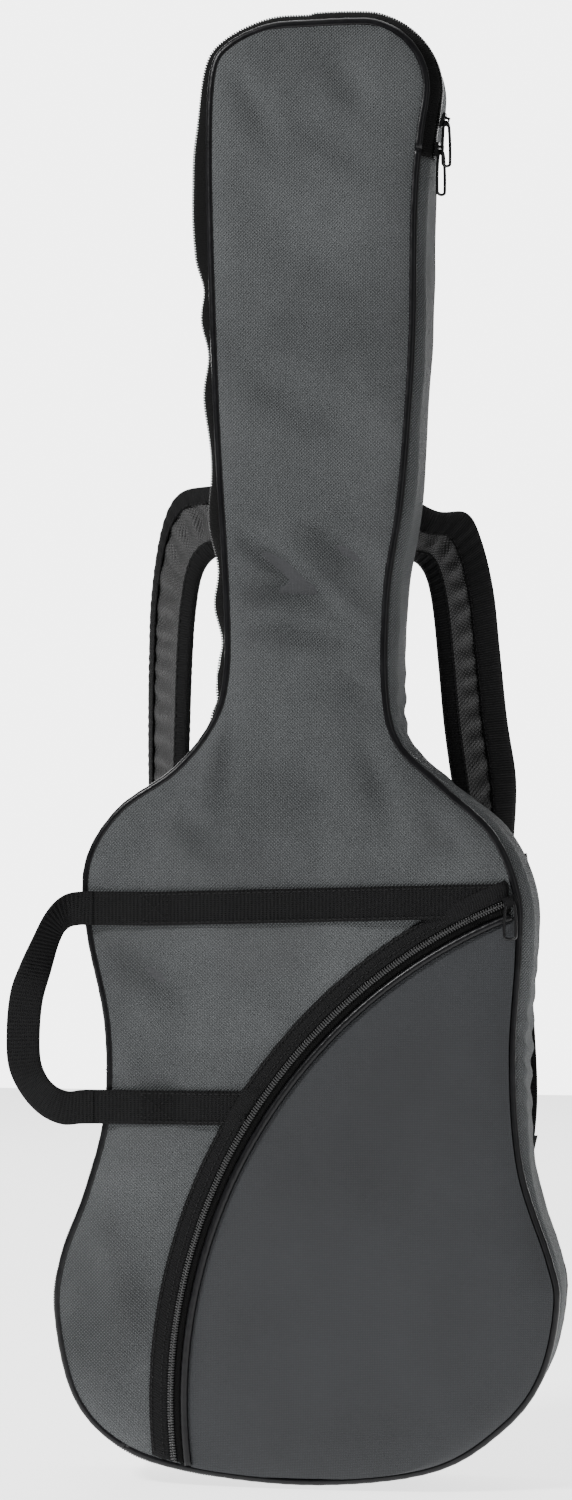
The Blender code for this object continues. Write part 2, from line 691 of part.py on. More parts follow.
def build_strap(side, lines, parent):
    """One padded strap; its parts follow the same pair of edge lines."""
    sign = 1 if side == "right" else -1
    edges = strap_edges(*lines, 2)
    cushion = -STRAP_FOAM / 2 - GAP - STRAP_SKIN / 2
    fabric, mesh_look = (FABRIC_GREY, 0.85), (BLACK, 0.9)
    inset_by = (BINDING + BINDING_GAP, BINDING + BINDING_GAP)
    ribbon(f"strap_{side}_foam", edges, STRAP_FOAM, (FOAM_GREY, 0.95), parent, trim=inset_by)
    ribbon(f"strap_{side}_mesh", edges, STRAP_SKIN, mesh_look, parent, cushion * sign, inset_by)
    ribbon(f"strap_{side}_outer", edges, STRAP_SKIN, fabric, parent, -cushion * sign, inset_by)
    for part, from_left in (("outer", True), ("inner", False)):
        hem = []
        for left, right in edges:
            across = (right - left).normalized() * BINDING
            hem.append((left, left + across) if from_left else (right - across, right))
        depth = STRAP_FOAM + STRAP_SKIN * 2 + GAP * 4
        ribbon(f"strap_{side}_binding_{part}", hem, depth, (BLACK, 0.7), parent)

    end = (edges[-1][0] + edges[-1][1]) / 2
    anchor = Vector((STRAP_BOTTOM[0] * sign, STRAP_BOTTOM[1], STRAP_BOTTOM[2]))
    down = (anchor - end).normalized()
    side_way = Vector((0, 1, 0)).cross(down).normalized()
    face = down.cross(side_way).normalized()
    lock_at = end + down * (LOCK_SIZE[2] / 2 + 0.0045)
    lock = block(f"strap_{side}_ladder_lock", LOCK_SIZE, (0, 0, 0))
    for number, height in enumerate((-0.0062, 0.0062)):
        slot = block(
            f"strap_{side}_slot_{number}", (LOCK_SIZE[0] - 0.0064, 0.02, 0.0036), (0, 0, height),
            cutter_of=lock,
        )
        join(lock, slot, "DIFFERENCE")
    place(lock, (BLACK, 0.4), parent)
    turn = Matrix((side_way, face, -down)).transposed().to_4x4()
    if turn.determinant() < 0:
        turn = Matrix((-side_way, face, -down)).transposed().to_4x4()
    lock.matrix_basis = Matrix.Translation(lock_at) @ turn

    half = side_way * (WEBBING / 2)
    first = lock_at + down * (LOCK_SIZE[2] / 2 + 0.0006)
    webbing = [
        (first + (anchor - first) * share - half, first + (anchor - first) * share + half)
        for share in (0.0, 0.5, 1.0)
    ]
    ribbon(f"strap_{side}_webbing", webbing, WEB_THICK, (BLACK, 0.6), parent)

    away = Vector((0, 1, 0)) * 0.0060
    tail_end = first + down * 0.0950 + Vector((0.008 * sign, 0.010, 0))
    if side == "left":
        tail_end = first + Vector((-0.030, 0.006, -0.012))
    begin = first + away
    tail = [
        (begin + (tail_end - begin) * share - half, begin + (tail_end - begin) * share + half)
        for share in (0.0, 0.5, 1.0)
    ]
    ribbon(f"strap_{side}_tail", tail, WEB_THICK, (BLACK, 0.6), parent)


def build_anchors():
    """Patch that holds both straps at the neck, and a webbing tab for each lower end."""
    patch = [(-0.0420, 0.6400), (-0.0420, 0.6900), (0.0420, 0.6900), (0.0420, 0.6400)]
    plate("strap_anchor_patch", [patch], GAP, 0.0030, (BLACK, 0.7))
    for side, sign in (("left", -1), ("right", 1)):
        edges = [
            (Vector((inner * sign, y, z)), Vector(((inner + 0.0240) * sign, y, z)))
            for inner, y, z in ((0.1280, 0.0018, 0.1960), (0.1340, 0.0040, 0.2120), (0.1390, 0.0110, 0.2240))
        ]
        ribbon(f"strap_tab_{side}", edges, 0.0020, (BLACK, 0.65))


UPPER_ANGLE = -20
LOWER_HEIGHT = 0.9270
POCKET_ANGLE = 111.5


def build_sliders(ring):
    bodies = {
        "upper": empty("head_track", CORNER[0], 0, CORNER[1]),
        "pocket": empty("pocket_track", POCKET[0], 0, POCKET[1]),
    }
    coil = 0.0008 + 0.0006
    y_coil = (COIL_FRONT[0] + COIL_REAR[1]) / 2
    turn = math.radians(UPPER_ANGLE)
    outward = Vector((math.cos(turn), 0, math.sin(turn)))
    along = Vector((0, 1, 0)).cross(outward)
    at = Vector((CORNER[0], y_coil, CORNER[1])) + outward * (CORNER_RADIUS + BULGE_NECK + coil + 0.0022)
    slider("main_slider_upper", along, outward, at, bodies["upper"])
    lean = math.radians(12)
    hang = Vector((math.sin(lean), 0, -math.cos(lean)))
    bar = at + outward * ((EYE_LOW + EYE_HIGH) / 2)
    pull("main_pull_upper", 0.0310, hang, hang.cross(Vector((0, 1, 0))), bar, None)

    spot = nearest(ring, (0.0770, LOWER_HEIGHT))
    a, b = ring[int(spot)][0], ring[(int(spot) + 1) % len(ring)][0]
    side = normal(a, b)
    outward = Vector((side.x, 0, side.y))
    along = Vector((0, 1, 0)).cross(outward)
    foot = a + (b - a) * (spot - int(spot)) + side * (BULGE_NECK + coil)
    at = Vector((foot.x, y_coil, foot.y))
    slider("main_slider_lower", along, outward, at, None)
    hang = Vector((0, 0, -1))
    bar = at + outward * ((EYE_LOW + EYE_HIGH) / 2)
    pull("main_pull_lower", 0.0310, hang, hang.cross(Vector((0, 1, 0))), bar, None)

    turn = math.radians(POCKET_ANGLE)
    ray = Vector((math.cos(turn), 0, math.sin(turn)))
    outward = Vector((0, -1, 0))
    along = outward.cross(ray)
    at = Vector((POCKET[0], -DEPTH - 0.0024, POCKET[1])) + ray * POCKET_RADIUS
    post_slider("pocket_slider", along, outward, at, bodies["pocket"])
    hang = Vector((0, 0, -1))
    pull("pocket_pull", 0.0270, hang, outward, at + outward * POST_PULL, None, near=-0.0032)


def main():
    global BAG, CUTTERS, FRAME
    clear_scene()
    BAG = collection(NAME)
    CUTTERS = collection("cutters", hidden=True)
    FRAME = bpy.data.objects.new("bag_frame", None)
    BAG.objects.link(FRAME)
    FRAME.location.z = -REST_HEIGHT

    ring = bag_ring()
    flap = empty("flap_fold", FOLD_BOTTOM[0], FOLD_Y, FOLD_BOTTOM[1])
    handle = empty("handle_edge", HANDLE_AXIS[0], HANDLE_AXIS[1], HANDLE_LOW)
    build_back(ring)
    build_gusset(ring)
    build_front(ring, flap)
    build_pocket(ring)
    build_handle(flap, handle)
    for side, lines, sign in (("right", STRAP_RIGHT, 1), ("left", STRAP_LEFT, -1)):
        top = empty(f"strap_{side}_anchor", STRAP_TOP[0] * sign, STRAP_TOP[1], STRAP_TOP[2])
        build_strap(side, lines, top)
    build_anchors()
    build_sliders(ring)


main()
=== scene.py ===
"""Looks of the padded gig bag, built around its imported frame."""
import functools
import math

import bmesh
import bpy
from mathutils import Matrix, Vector, noise


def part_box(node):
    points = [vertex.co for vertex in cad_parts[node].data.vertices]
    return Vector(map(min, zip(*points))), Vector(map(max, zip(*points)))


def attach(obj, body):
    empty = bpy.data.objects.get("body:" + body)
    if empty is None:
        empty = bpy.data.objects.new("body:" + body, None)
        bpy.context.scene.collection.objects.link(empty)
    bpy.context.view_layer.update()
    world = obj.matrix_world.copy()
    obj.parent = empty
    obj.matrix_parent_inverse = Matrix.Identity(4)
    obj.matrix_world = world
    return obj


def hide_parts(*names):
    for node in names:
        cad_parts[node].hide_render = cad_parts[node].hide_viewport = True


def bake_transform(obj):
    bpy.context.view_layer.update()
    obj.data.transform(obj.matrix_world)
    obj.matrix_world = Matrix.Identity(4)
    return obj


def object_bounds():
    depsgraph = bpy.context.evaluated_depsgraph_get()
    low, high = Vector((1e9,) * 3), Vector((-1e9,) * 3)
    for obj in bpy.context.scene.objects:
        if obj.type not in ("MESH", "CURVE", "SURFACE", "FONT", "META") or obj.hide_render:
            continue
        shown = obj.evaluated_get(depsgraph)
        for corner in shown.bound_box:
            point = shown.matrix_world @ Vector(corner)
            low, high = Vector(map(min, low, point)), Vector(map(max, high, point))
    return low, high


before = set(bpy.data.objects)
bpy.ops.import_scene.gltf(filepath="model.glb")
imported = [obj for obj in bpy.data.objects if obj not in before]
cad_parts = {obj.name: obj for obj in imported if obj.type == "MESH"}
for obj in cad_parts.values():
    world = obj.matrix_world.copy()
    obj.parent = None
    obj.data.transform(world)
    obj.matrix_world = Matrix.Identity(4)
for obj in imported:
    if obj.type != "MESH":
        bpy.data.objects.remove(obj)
CAD_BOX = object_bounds()

# ---------------------------------------------------------------- places, as in the CAD
LIFT = -0.33    # height of the bag's lowest point in the frame
DEPTH = 0.075
PIPING = 0.00275
BULGE_NECK = 0.009
BULGE_BODY = 0.004
CHEST = (0.5, 0.56)
BAND_FRONT = -DEPTH + 0.005
BAND_CREST = -DEPTH + 0.015
BAND_FALL = -0.015
BAND_REAR = -0.005
COIL_LINE = -DEPTH + 0.0181
CORNER = (0.036, 0.967)
CORNER_RADIUS = 0.0465
RIGHT_SIDE = [
    (0.0778, 0.9327), (0.074, 0.885), (0.0723, 0.788), (0.0646, 0.685), (0.0549, 0.619), (0.0535, 0.552),
    (0.0626, 0.513), (0.0931, 0.483), (0.1286, 0.45), (0.1453, 0.409), (0.146, 0.367), (0.1418, 0.295),
    (0.1473, 0.22), (0.1675, 0.157), (0.1724, 0.1265), (0.1619, 0.079), (0.1355, 0.043),
    (0.0869, 0.0125),
]
LEFT_SIDE = [
    (0.0035, 0.0014), (-0.0827, 0.0083), (-0.132, 0.0243), (-0.1633, 0.057), (-0.1765, 0.1126),
    (-0.1724, 0.153), (-0.155, 0.2), (-0.141, 0.255), (-0.141, 0.318), (-0.1536, 0.3816),
    (-0.155, 0.429), (-0.1327, 0.466), (-0.0938, 0.4935), (-0.0681, 0.524), (-0.057, 0.557),
    (-0.0563, 0.613), (-0.0626, 0.724), (-0.0667, 0.828), (-0.0688, 0.926), (-0.066, 0.981),
    (-0.0542, 0.9994), (-0.0278, 1.011), (0.0, 1.013),
]
ZIP_TOP = (0.0766, 0.92)
ZIP_BOTTOM = (-0.0375, 0.003)
FOLD_TOP = Vector((0.0763, 0.92))
FOLD_BOTTOM = Vector((-0.135, 0.0))
FOLD_ACROSS = Vector((FOLD_TOP.y - FOLD_BOTTOM.y, FOLD_BOTTOM.x - FOLD_TOP.x)).normalized()
POCKET = Vector((0.2794, 0.0556))
POCKET_RADIUS = 0.3753
POCKET_TAPE = 0.015
POCKET_INNER = 0.0068
WEBBING = 0.0236
HANDLE_HIGH = 0.3985
HANDLE_LOW = 0.26
HANDLE_EDGE = -0.157
STRAP_ANCHOR = (0.144, 0.013, 0.232)

# ---------------------------------------------------------------- small sizes of the looks
PANEL_SEAM = 0.0016      # the outer panels end this far inside the piping's line
PADDING_SEAM = 0.0075    # and their padding this far
TAPE_LIFT = 0.001
TAPE_THICKNESS = 0.0008
WEBBING_THICKNESS = 0.0015
TOOTH = (0.0029, 0.0011, 0.0015)
TOOTH_PITCH = 0.0019
STITCH = (0.0026, 0.0007, 0.0006)
STITCH_GAP = 0.004
FRONT = Vector((0, -1, 0))
DOWN = Vector((0, 0, -1))


def at(x, y, z):
    """A place in the frame, from its height above the bag's lowest point."""
    return Vector((x, y, z + LIFT))


def clamp(value):
    return min(1.0, max(0.0, value))


def evenly(start, end, count):
    return [start + (end - start) * k / count for k in range(count + 1)]


def near(value, middle, reach, power=2):
    """One at the middle, falling off to nothing beyond the reach."""
    return math.exp(-((value - middle) / reach) ** power)


# ---------------------------------------------------------------- camera, light, floor
def aim(obj, target):
    obj.rotation_euler = (Vector(target) - obj.location).to_track_quat("-Z", "Y").to_euler()


def make_camera():
    data = bpy.data.cameras.new("camera")
    camera = bpy.data.objects.new("camera", data)
    bpy.context.scene.collection.objects.link(camera)
    azimuth, distance, seen_height = math.radians(8.5), 2.7, 1.055
    target = Vector((-0.02, -0.04, 0.179))
    away = Vector((math.sin(azimuth), -math.cos(azimuth), 0.0))
    camera.location = target + away * distance
    aim(camera, target)
    data.sensor_fit = "VERTICAL"
    data.sensor_height = 36.0
    data.lens = 36.0 * distance / seen_height
    bpy.context.scene.camera = camera


def area_light(name, place, target, size, power):
    data = bpy.data.lights.new(name, "AREA")
    data.shape = "RECTANGLE"
    data.size, data.size_y = size
    data.energy = power
    lamp = bpy.data.objects.new(name, data)
    bpy.context.scene.collection.objects.link(lamp)
    lamp.location = place
    aim(lamp, target)


def make_studio():
    world = bpy.data.worlds.new("studio")
    world.use_nodes = True
    tree = world.node_tree
    shader = tree.nodes["Background"]
    shader.inputs["Color"].default_value = (1.0, 1.0, 1.0, 1.0)
    direction = node(tree, "ShaderNodeSeparateXYZ")
    tree.links.new(node(tree, "ShaderNodeTexCoord").outputs["Generated"], direction.inputs[0])
    patch = node(tree, "ShaderNodeMapRange", [("interpolation_type", "SMOOTHSTEP")])
    for socket, value in zip(patch.inputs[1:5], (0.86, 0.94, 0.36, 5.0)):
        socket.default_value = value
    tree.links.new(direction.outputs["Y"], patch.inputs[0])
    tree.links.new(patch.outputs[0], shader.inputs["Strength"])
    bpy.context.scene.world = world
    area_light("key", (-1.6, -1.6, 1.8), (0, 0, 0.35), (0.5, 0.5), 104)
    area_light("fill", (1.9, -1.5, 0.5), (0, 0, 0.1), (1.0, 1.4), 9)
    area_light("top", (0.0, 0.3, 2.0), (0, 0, 0.3), (1.2, 1.0), 16)
    area_light("back", (-0.6, 2.2, 1.4), (0, 0, 0.2), (1.6, 1.6), 24)
    level = CAD_BOX[0][2] - 0.002
    studio_plane("floor", [(-2, -1, level), (2, -1, level), (2, 3, level), (-2, 3, level)], 2.0)


def studio_plane(name, corners, glow):
    paint, _, _ = principled(
        name + "_paint", Base_Color=(0.88, 0.88, 0.88, 1), Roughness=0.9,
        Emission_Color=(1, 1, 1, 1), Emission_Strength=glow,
    )
    mesh = bpy.data.meshes.new(name)
    mesh.from_pydata(corners, [], [(0, 1, 2, 3)])
    mesh.materials.append(paint)
    plane = bpy.data.objects.new(name, mesh)
    bpy.context.scene.collection.objects.link(plane)


# ---------------------------------------------------------------- materials
def principled(name, **values):
    made = bpy.data.materials.new(name)
    made.use_nodes = True
    shader = made.node_tree.nodes["Principled BSDF"]
    set_inputs(shader, **values)
    return made, made.node_tree, shader


def set_inputs(made, **values):
    for key, value in values.items():
        made.inputs[key.replace("_", " ")].default_value = value


def node(tree, kind, settings=(), **values):
    made = tree.nodes.new(kind)
    for key, value in settings:
        setattr(made, key, value)
    set_inputs(made, **values)
    return made


def noise_node(tree, coords, scale, detail, rough=0.5):
    made = node(tree, "ShaderNodeTexNoise", Scale=scale, Detail=detail, Roughness=rough)
    tree.links.new(coords, made.inputs["Vector"])
    return made.outputs["Fac"]


def maths(tree, operation, a, b):
    made = node(tree, "ShaderNodeMath", [("operation", operation)])
    for socket, value in zip(made.inputs, (a, b)):
        if isinstance(value, (int, float)):
            socket.default_value = value
        else:
            tree.links.new(value, socket)
    return made.outputs[0]


def blend_colours(tree, share, dark, light):
    made = node(tree, "ShaderNodeMix", [("data_type", "RGBA")], A=(*dark, 1), B=(*light, 1))
    tree.links.new(share, made.inputs["Factor"])
    return made.outputs["Result"]


def wave(tree, coords, direction, pitch):
    made = node(
        tree, "ShaderNodeTexWave", [("bands_direction", direction)],
        Scale=0.31416 / pitch, Distortion=0.35, Detail=1.0, Detail_Scale=0.6,
    )
    tree.links.new(coords, made.inputs["Vector"])
    return made.outputs["Fac"]


def bump(tree, shader, height, distance):
    made = node(tree, "ShaderNodeBump", Distance=distance, Strength=1.0)
    tree.links.new(height, made.inputs["Height"])
    tree.links.new(made.outputs["Normal"], shader.inputs["Normal"])


def cloth(name, dark, light, pitch, turn, depth, roughness=0.85, sheen=0.0, mottle=0.5, shine=0.25):
    """Woven fabric: two sets of threads over coordinates in metres, mottled colour, worn sheen."""
    made, tree, shader = principled(name, Sheen_Weight=sheen, Specular_IOR_Level=shine)
    where = node(tree, "ShaderNodeTexCoord")
    turned = node(tree, "ShaderNodeMapping")
    turned.inputs["Rotation"].default_value = (0, 0, turn)
    tree.links.new(where.outputs["UV"], turned.inputs["Vector"])
    coords = turned.outputs["Vector"]
    threads = maths(tree, "MULTIPLY", wave(tree, coords, "X", pitch[0]), wave(tree, coords, "Y", pitch[1]))
    mottled = noise_node(tree, where.outputs["UV"], 900.0, 2.0, 0.6)
    large = noise_node(tree, where.outputs["Object"], 9.0, 4.0, 0.55)
    raised = maths(tree, "MULTIPLY", threads, 0.75)
    worn = maths(tree, "MULTIPLY", maths(tree, "SUBTRACT", large, 0.5), 0.9)
    share = maths(tree, "ADD", raised, maths(tree, "MULTIPLY", mottled, mottle))
    share = maths(tree, "ADD", share, worn)
    share = maths(tree, "MINIMUM", maths(tree, "MAXIMUM", share, 0.0), 1.0)
    tree.links.new(blend_colours(tree, share, dark, light), shader.inputs["Base Color"])
    rough = maths(tree, "ADD", maths(tree, "MULTIPLY", large, 0.25), roughness - 0.14)
    tree.links.new(rough, shader.inputs["Roughness"])
    bump(tree, shader, maths(tree, "ADD", threads, maths(tree, "MULTIPLY", mottled, 0.4)), depth)
    return made


def moulded(name, dark, light, roughness, metallic=0.0, shine=0.5, grain=1400.0):
    """Plastic, rubbery piping or painted metal: fine grain, uneven gloss, lighter wear."""
    made, tree, shader = principled(name, Metallic=metallic, Specular_IOR_Level=shine)
    where = node(tree, "ShaderNodeTexCoord")
    fine = noise_node(tree, where.outputs["Object"], grain, 2.0)
    large = noise_node(tree, where.outputs["Object"], 60.0, 4.0, 0.6)
    tree.links.new(blend_colours(tree, large, dark, light), shader.inputs["Base Color"])
    rough = maths(tree, "ADD", maths(tree, "MULTIPLY", large, 0.3), roughness - 0.15)
    tree.links.new(rough, shader.inputs["Roughness"])
    bump(tree, shader, fine, 0.00008)
    return made


def make_materials():
    diagonal = math.radians(45)
    return {
        "grey": cloth(
            "grey_polyester", (0.022, 0.024, 0.025), (0.122, 0.128, 0.131), (0.0017, 0.0017), diagonal,
            0.0012, mottle=0.42,
        ),
        "pocket": cloth(
            "pocket_polyester", (0.01, 0.0105, 0.0115), (0.029, 0.031, 0.034), (0.0012, 0.0012), 0.0, 0.0002,
            roughness=0.72,
        ),
        "tape": cloth(
            "black_tape", (0.001, 0.001, 0.001), (0.005, 0.005, 0.005), (0.0016, 0.0008), 0.0, 0.0003,
            shine=0.1,
        ),
        "webbing": cloth(
            "black_webbing", (0.001, 0.001, 0.001), (0.0055, 0.0055, 0.006), (0.0026, 0.0013), 0.0, 0.0009,
            roughness=0.66, shine=0.12,
        ),
        "mesh": cloth(
            "spacer_mesh", (0.002, 0.002, 0.002), (0.03, 0.03, 0.031), (0.0022, 0.0022), diagonal, 0.0007,
            roughness=0.62, mottle=0.25, shine=0.6,
        ),
        "binding": cloth(
            "binding_tape", (0.001, 0.001, 0.001), (0.0045, 0.0045, 0.005), (0.0018, 0.001), 0.0, 0.0004,
            roughness=0.6, shine=0.12,
        ),
        "lining": cloth(
            "lining", (0.018, 0.019, 0.021), (0.045, 0.046, 0.05), (0.001, 0.001), 0.0, 0.0002,
            roughness=0.6, sheen=0.2,
        ),
        "thread": moulded("thread", (0.002, 0.002, 0.002), (0.007, 0.007, 0.0075), 0.7, shine=0.2),
        "grey_thread": moulded("grey_thread", (0.05, 0.055, 0.053), (0.12, 0.13, 0.125), 0.7),
        "piping": moulded(
            "piping", (0.001, 0.001, 0.0012), (0.004, 0.004, 0.005), 0.34, grain=700.0, shine=0.18,
        ),
        "coil": moulded("zip_coil", (0.002, 0.002, 0.002), (0.008, 0.008, 0.0085), 0.38),
        "lock": moulded("lock_plastic", (0.002, 0.002, 0.002), (0.008, 0.008, 0.008), 0.42),
        "metal": moulded("slider_metal", (0.0015, 0.0015, 0.0017), (0.006, 0.006, 0.0065), 0.3, 0.15, 0.3),
    }


# ---------------------------------------------------------------- outlines
def rounded(points, closed=False, steps=8):
    """Points of a smooth curve through the given ones, of any dimension."""
    known = [Vector(point) for point in points]
    count = len(known)
    spans = count if closed else count - 1
    line = []
    for i in range(spans):
        a, b, c, d = (
            known[(i + k) % count] if closed else known[min(max(i + k, 0), count - 1)]
            for k in (-1, 0, 1, 2)
        )
        for k in range(steps):
            t = k / steps
            line.append(
                b + (c - a) * (0.5 * t)
                + (a * 2 - b * 5 + c * 4 - d) * (0.5 * t * t)
                + (b * 3 - a - c * 3 + d) * (0.5 * t ** 3)
            )
    if not closed:
        line.append(known[-1])
    return line


def spaced(line, gap, closed=False):
    """The same line with its points an even distance apart."""
    points = line + line[:1] if closed else line
    lengths = [0.0]
    for a, b in zip(points, points[1:]):
        lengths.append(lengths[-1] + (b - a).length)
    count = max(2, round(lengths[-1] / gap))
    out, i = [], 0
    for k in range(count if closed else count + 1):
        goal = lengths[-1] * k / count
        while i < len(points) - 2 and lengths[i + 1] < goal:
            i += 1
        t = (goal - lengths[i]) / max(lengths[i + 1] - lengths[i], 1e-12)
        out.append(points[i].lerp(points[i + 1], clamp(t)))
    return out


def corner_at(angle):
    turn = math.radians(angle)
    return (CORNER[0] + CORNER_RADIUS * math.cos(turn), CORNER[1] + CORNER_RADIUS * math.sin(turn))


def bag_ring():
    """The piping's closed line, clockwise from the front, as (point, outward) pairs 4 mm apart."""
    corner = [corner_at(angle) for angle in (88, 72, 56, 40, 24, 8, -8)]
    line = spaced(rounded(RIGHT_SIDE + LEFT_SIDE + corner, closed=True), 0.004, closed=True)
    ring = []
    for i, point in enumerate(line):
        along = (line[(i + 1) % len(line)] - line[i - 1]).normalized()
        ring.append((point, Vector((-along.y, along.x))))
    return ring


RING = bag_ring()


def nearest(place):
    target = Vector(place)
    return min(range(len(RING)), key=lambda i: (RING[i][0] - target).length)


def stretch(start, end):
    """The ring's stations from one place clockwise to another."""
    first, last = nearest(start), nearest(end)
    if last <= first:
        last += len(RING)
    return [RING[i % len(RING)] for i in range(first, last + 1)]


def fold_side(x, z):
    """Distance to the right of the fold line; z is above the bag's lowest point."""
    return (Vector((x, z)) - FOLD_BOTTOM).dot(FOLD_ACROSS)


def fold_crossings():
    """Where the fold line crosses the piping, at the bottom and at the head."""
    found = []
    for i, (a, _) in enumerate(RING):
        b = RING[(i + 1) % len(RING)][0]
        if (fold_side(*a) > 0) != (fold_side(*b) > 0):
            found.append(a)
    found.sort(key=lambda point: point.y)
    return found[0], found[-1]


def bulge(height):
    share = clamp((height - CHEST[0]) / (CHEST[1] - CHEST[0]))
    return BULGE_BODY + (BULGE_NECK - BULGE_BODY) * share * share * (3 - 2 * share)


def rise(y):
    """Share of the bulge that the gusset has at a depth: round behind both pipings."""
    front = clamp((y - BAND_FRONT) / (BAND_CREST - BAND_FRONT))
    rear = clamp((BAND_REAR - y) / (BAND_REAR - BAND_FALL))
    return math.sin(min(front, rear) * math.pi / 2)


def gusset_point(station, y, lift):
    """A point on the gusset's outer face, and lift above it, with its puckers."""
    point, outward = station
    level = rise(y)
    where = Vector((point.x * 9, y * 16, point.y * 9))
    pucker = noise.noise(where) * 0.0022 + noise.noise(where * 3.1) * 0.0009
    waist, neck_foot, head = 0.3, 0.52, 0.89
    gather = near(point.y, waist, 0.055) + near(point.y, neck_foot, 0.045)
    pleats = math.sin((point.y + y * 0.6) * 330.0 + noise.noise(where * 2) * 3.0) * 0.0011 * gather
    hollow = -0.0016 * gather
    slump = 0.0068 * near(point.y, waist + 0.03, 0.12, 4) if point.x > 0 else 0.0
    if point.x < 0 and point.y > CHEST[1]:
        slump = 0.005 * near(point.y, head, 0.05, 4) - 0.0012
        waves = 0.0022 * math.sin(point.y * 95.0 + math.sin(point.y * 31.0))
        slump += waves * clamp((0.86 - point.y) / 0.03)
    out = bulge(point.y) * level + (pucker + pleats + hollow + slump) * level + lift
    edge = point + outward * out
    return at(edge.x, y, edge.y)


# ---------------------------------------------------------------- meshes
def finished(name, mesh, materials):
    for made in materials:
        mesh.materials.append(made)
    mesh.polygons.foreach_set("use_smooth", [True] * len(mesh.polygons))
    obj = bpy.data.objects.new(name, mesh)
    bpy.context.scene.collection.objects.link(obj)
    return obj


def wears(obj, slot, *nodes):
    """Hide the CAD nodes that a piece stands for; the slot argument is not used."""
    if nodes:
        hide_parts(*nodes)


def rides(obj, slot, body, *nodes):
    wears(obj, slot, *nodes)
    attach(obj, body)


def folds(obj, slot, *nodes):
    """The same for a piece that lies across the flap's fold, with its transform baked into its mesh."""
    wears(obj, slot, *nodes)
    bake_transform(obj)


def faced_out(obj, fill=False):
    """Turn every face of a piece outwards, with its open ends filled first where asked."""
    shape = bmesh.new()
    shape.from_mesh(obj.data)
    if fill:
        bmesh.ops.holes_fill(shape, edges=[edge for edge in shape.edges if edge.is_boundary])
    bmesh.ops.recalc_face_normals(shape, faces=shape.faces)
    shape.to_mesh(obj.data)
    shape.free()


def sheet_mesh(
    name, rows, materials, thickness=0.0, closed=False, uvs=None, offset=-1.0, rolled=False, pick=None,
):
    """A surface through rows of points, with UVs in metres, thickened where asked.

    closed joins the last row to the first, rolled joins each row's ends, pick(k) gives a column's material.
    """
    mesh = bpy.data.meshes.new(name)
    width = len(rows[0])
    verts = [tuple(point) for row in rows for point in row]
    count = len(rows)
    along = [0.0]
    for a, b in zip(rows, rows[1:] + rows[:1]):
        along.append(along[-1] + (Vector(b[width // 2]) - Vector(a[width // 2])).length)
    faces, coords, slots = [], [], []
    for i in range(count if closed else count - 1):
        across = 0.0
        for k in range(width if rolled else width - 1):
            j, n = (i + 1) % count, (k + 1) % width
            faces.append((i * width + k, j * width + k, j * width + n, i * width + n))
            step = (Vector(rows[i][n]) - Vector(rows[i][k])).length
            if uvs:
                coords += [uvs(rows[i][k]), uvs(rows[j][k]), uvs(rows[j][n]), uvs(rows[i][n])]
            else:
                coords += [
                    (along[i], across), (along[i + 1], across),
                    (along[i + 1], across + step), (along[i], across + step),
                ]
            across += step
            slots.append(pick(k) if pick else 0)
    mesh.from_pydata(verts, [], faces)
    layer = mesh.uv_layers.new(name="UVMap")
    for loop, uv in zip(layer.data, coords):
        loop.uv = uv
    mesh.polygons.foreach_set("material_index", slots)
    obj = finished(name, mesh, materials)
    if thickness:
        shell = obj.modifiers.new("thickness", "SOLIDIFY")
        shell.thickness = thickness
        shell.offset = offset
    return obj


def tube(name, points, radius, made, closed, sides=10, squeeze=None):
    """A tube along points, built as rings, with UVs in metres."""
    rows = []
    count = len(points)
    for i, here in enumerate(points):
        before = points[i - 1] if i or closed else here
        after = points[(i + 1) % count] if i < count - 1 or closed else here
        along = (Vector(after) - Vector(before)).normalized()
        side = along.cross(Vector((0, 1, 0))).normalized()
        up = side.cross(along)
        size = radius * (squeeze(i) if squeeze else 1.0)
        rows.append([
            Vector(here) + (side * math.cos(a) + up * math.sin(a)) * size
            for a in (2 * math.pi * k / sides for k in range(sides))
        ])
    obj = sheet_mesh(name, rows, [made], closed=closed, rolled=True)
    faced_out(obj, fill=not closed)
    return obj


def boxes(name, frames, size, made):
    """One mesh of many small bricks with narrowed ends; each frame is (centre, along, across)."""
    mesh = bpy.data.meshes.new(name)
    verts, faces = [], []
    for centre, along, across in frames:
        up = along.cross(across).normalized()
        start = len(verts)
        for sx, taper in ((-1, 0.7), (-0.6, 1.0), (0.6, 1.0), (1, 0.7)):
            for sy, sz in ((-1, -1), (1, -1), (1, 1), (-1, 1)):
                verts.append(
                    centre + along * (sx * size[0] / 2)
                    + across * (sy * taper * size[1] / 2) + up * (sz * taper * size[2] / 2)
                )
        for ring in range(3):
            for k in range(4):
                a, b = start + ring * 4 + k, start + ring * 4 + (k + 1) % 4
                faces.append((a, b, b + 4, a + 4))
        faces.append((start + 3, start + 2, start + 1, start))
        faces.append((start + 12, start + 13, start + 14, start + 15))
    mesh.from_pydata([tuple(point) for point in verts], [], faces)
    mesh.update()
    obj = finished(name, mesh, [made])
    faced_out(obj)
    return obj


# ---------------------------------------------------------------- panels
@functools.lru_cache(maxsize=None)
def inset_ring(inset):
    """The piping's line moved into the bag."""
    return [point - outward * inset for point, outward in RING]


@functools.lru_cache(maxsize=None)
def widths(z, inset):
    """Left and right ends of a panel at a height, a distance inside the piping's line."""
    xs = []
    line = inset_ring(inset)
    for a, b in zip(line, line[1:] + line[:1]):
        if (a.y > z) != (b.y > z):
            xs.append(a.x + (b.x - a.x) * (z - a.y) / (b.y - a.y))
    return (min(xs), max(xs)) if xs else None


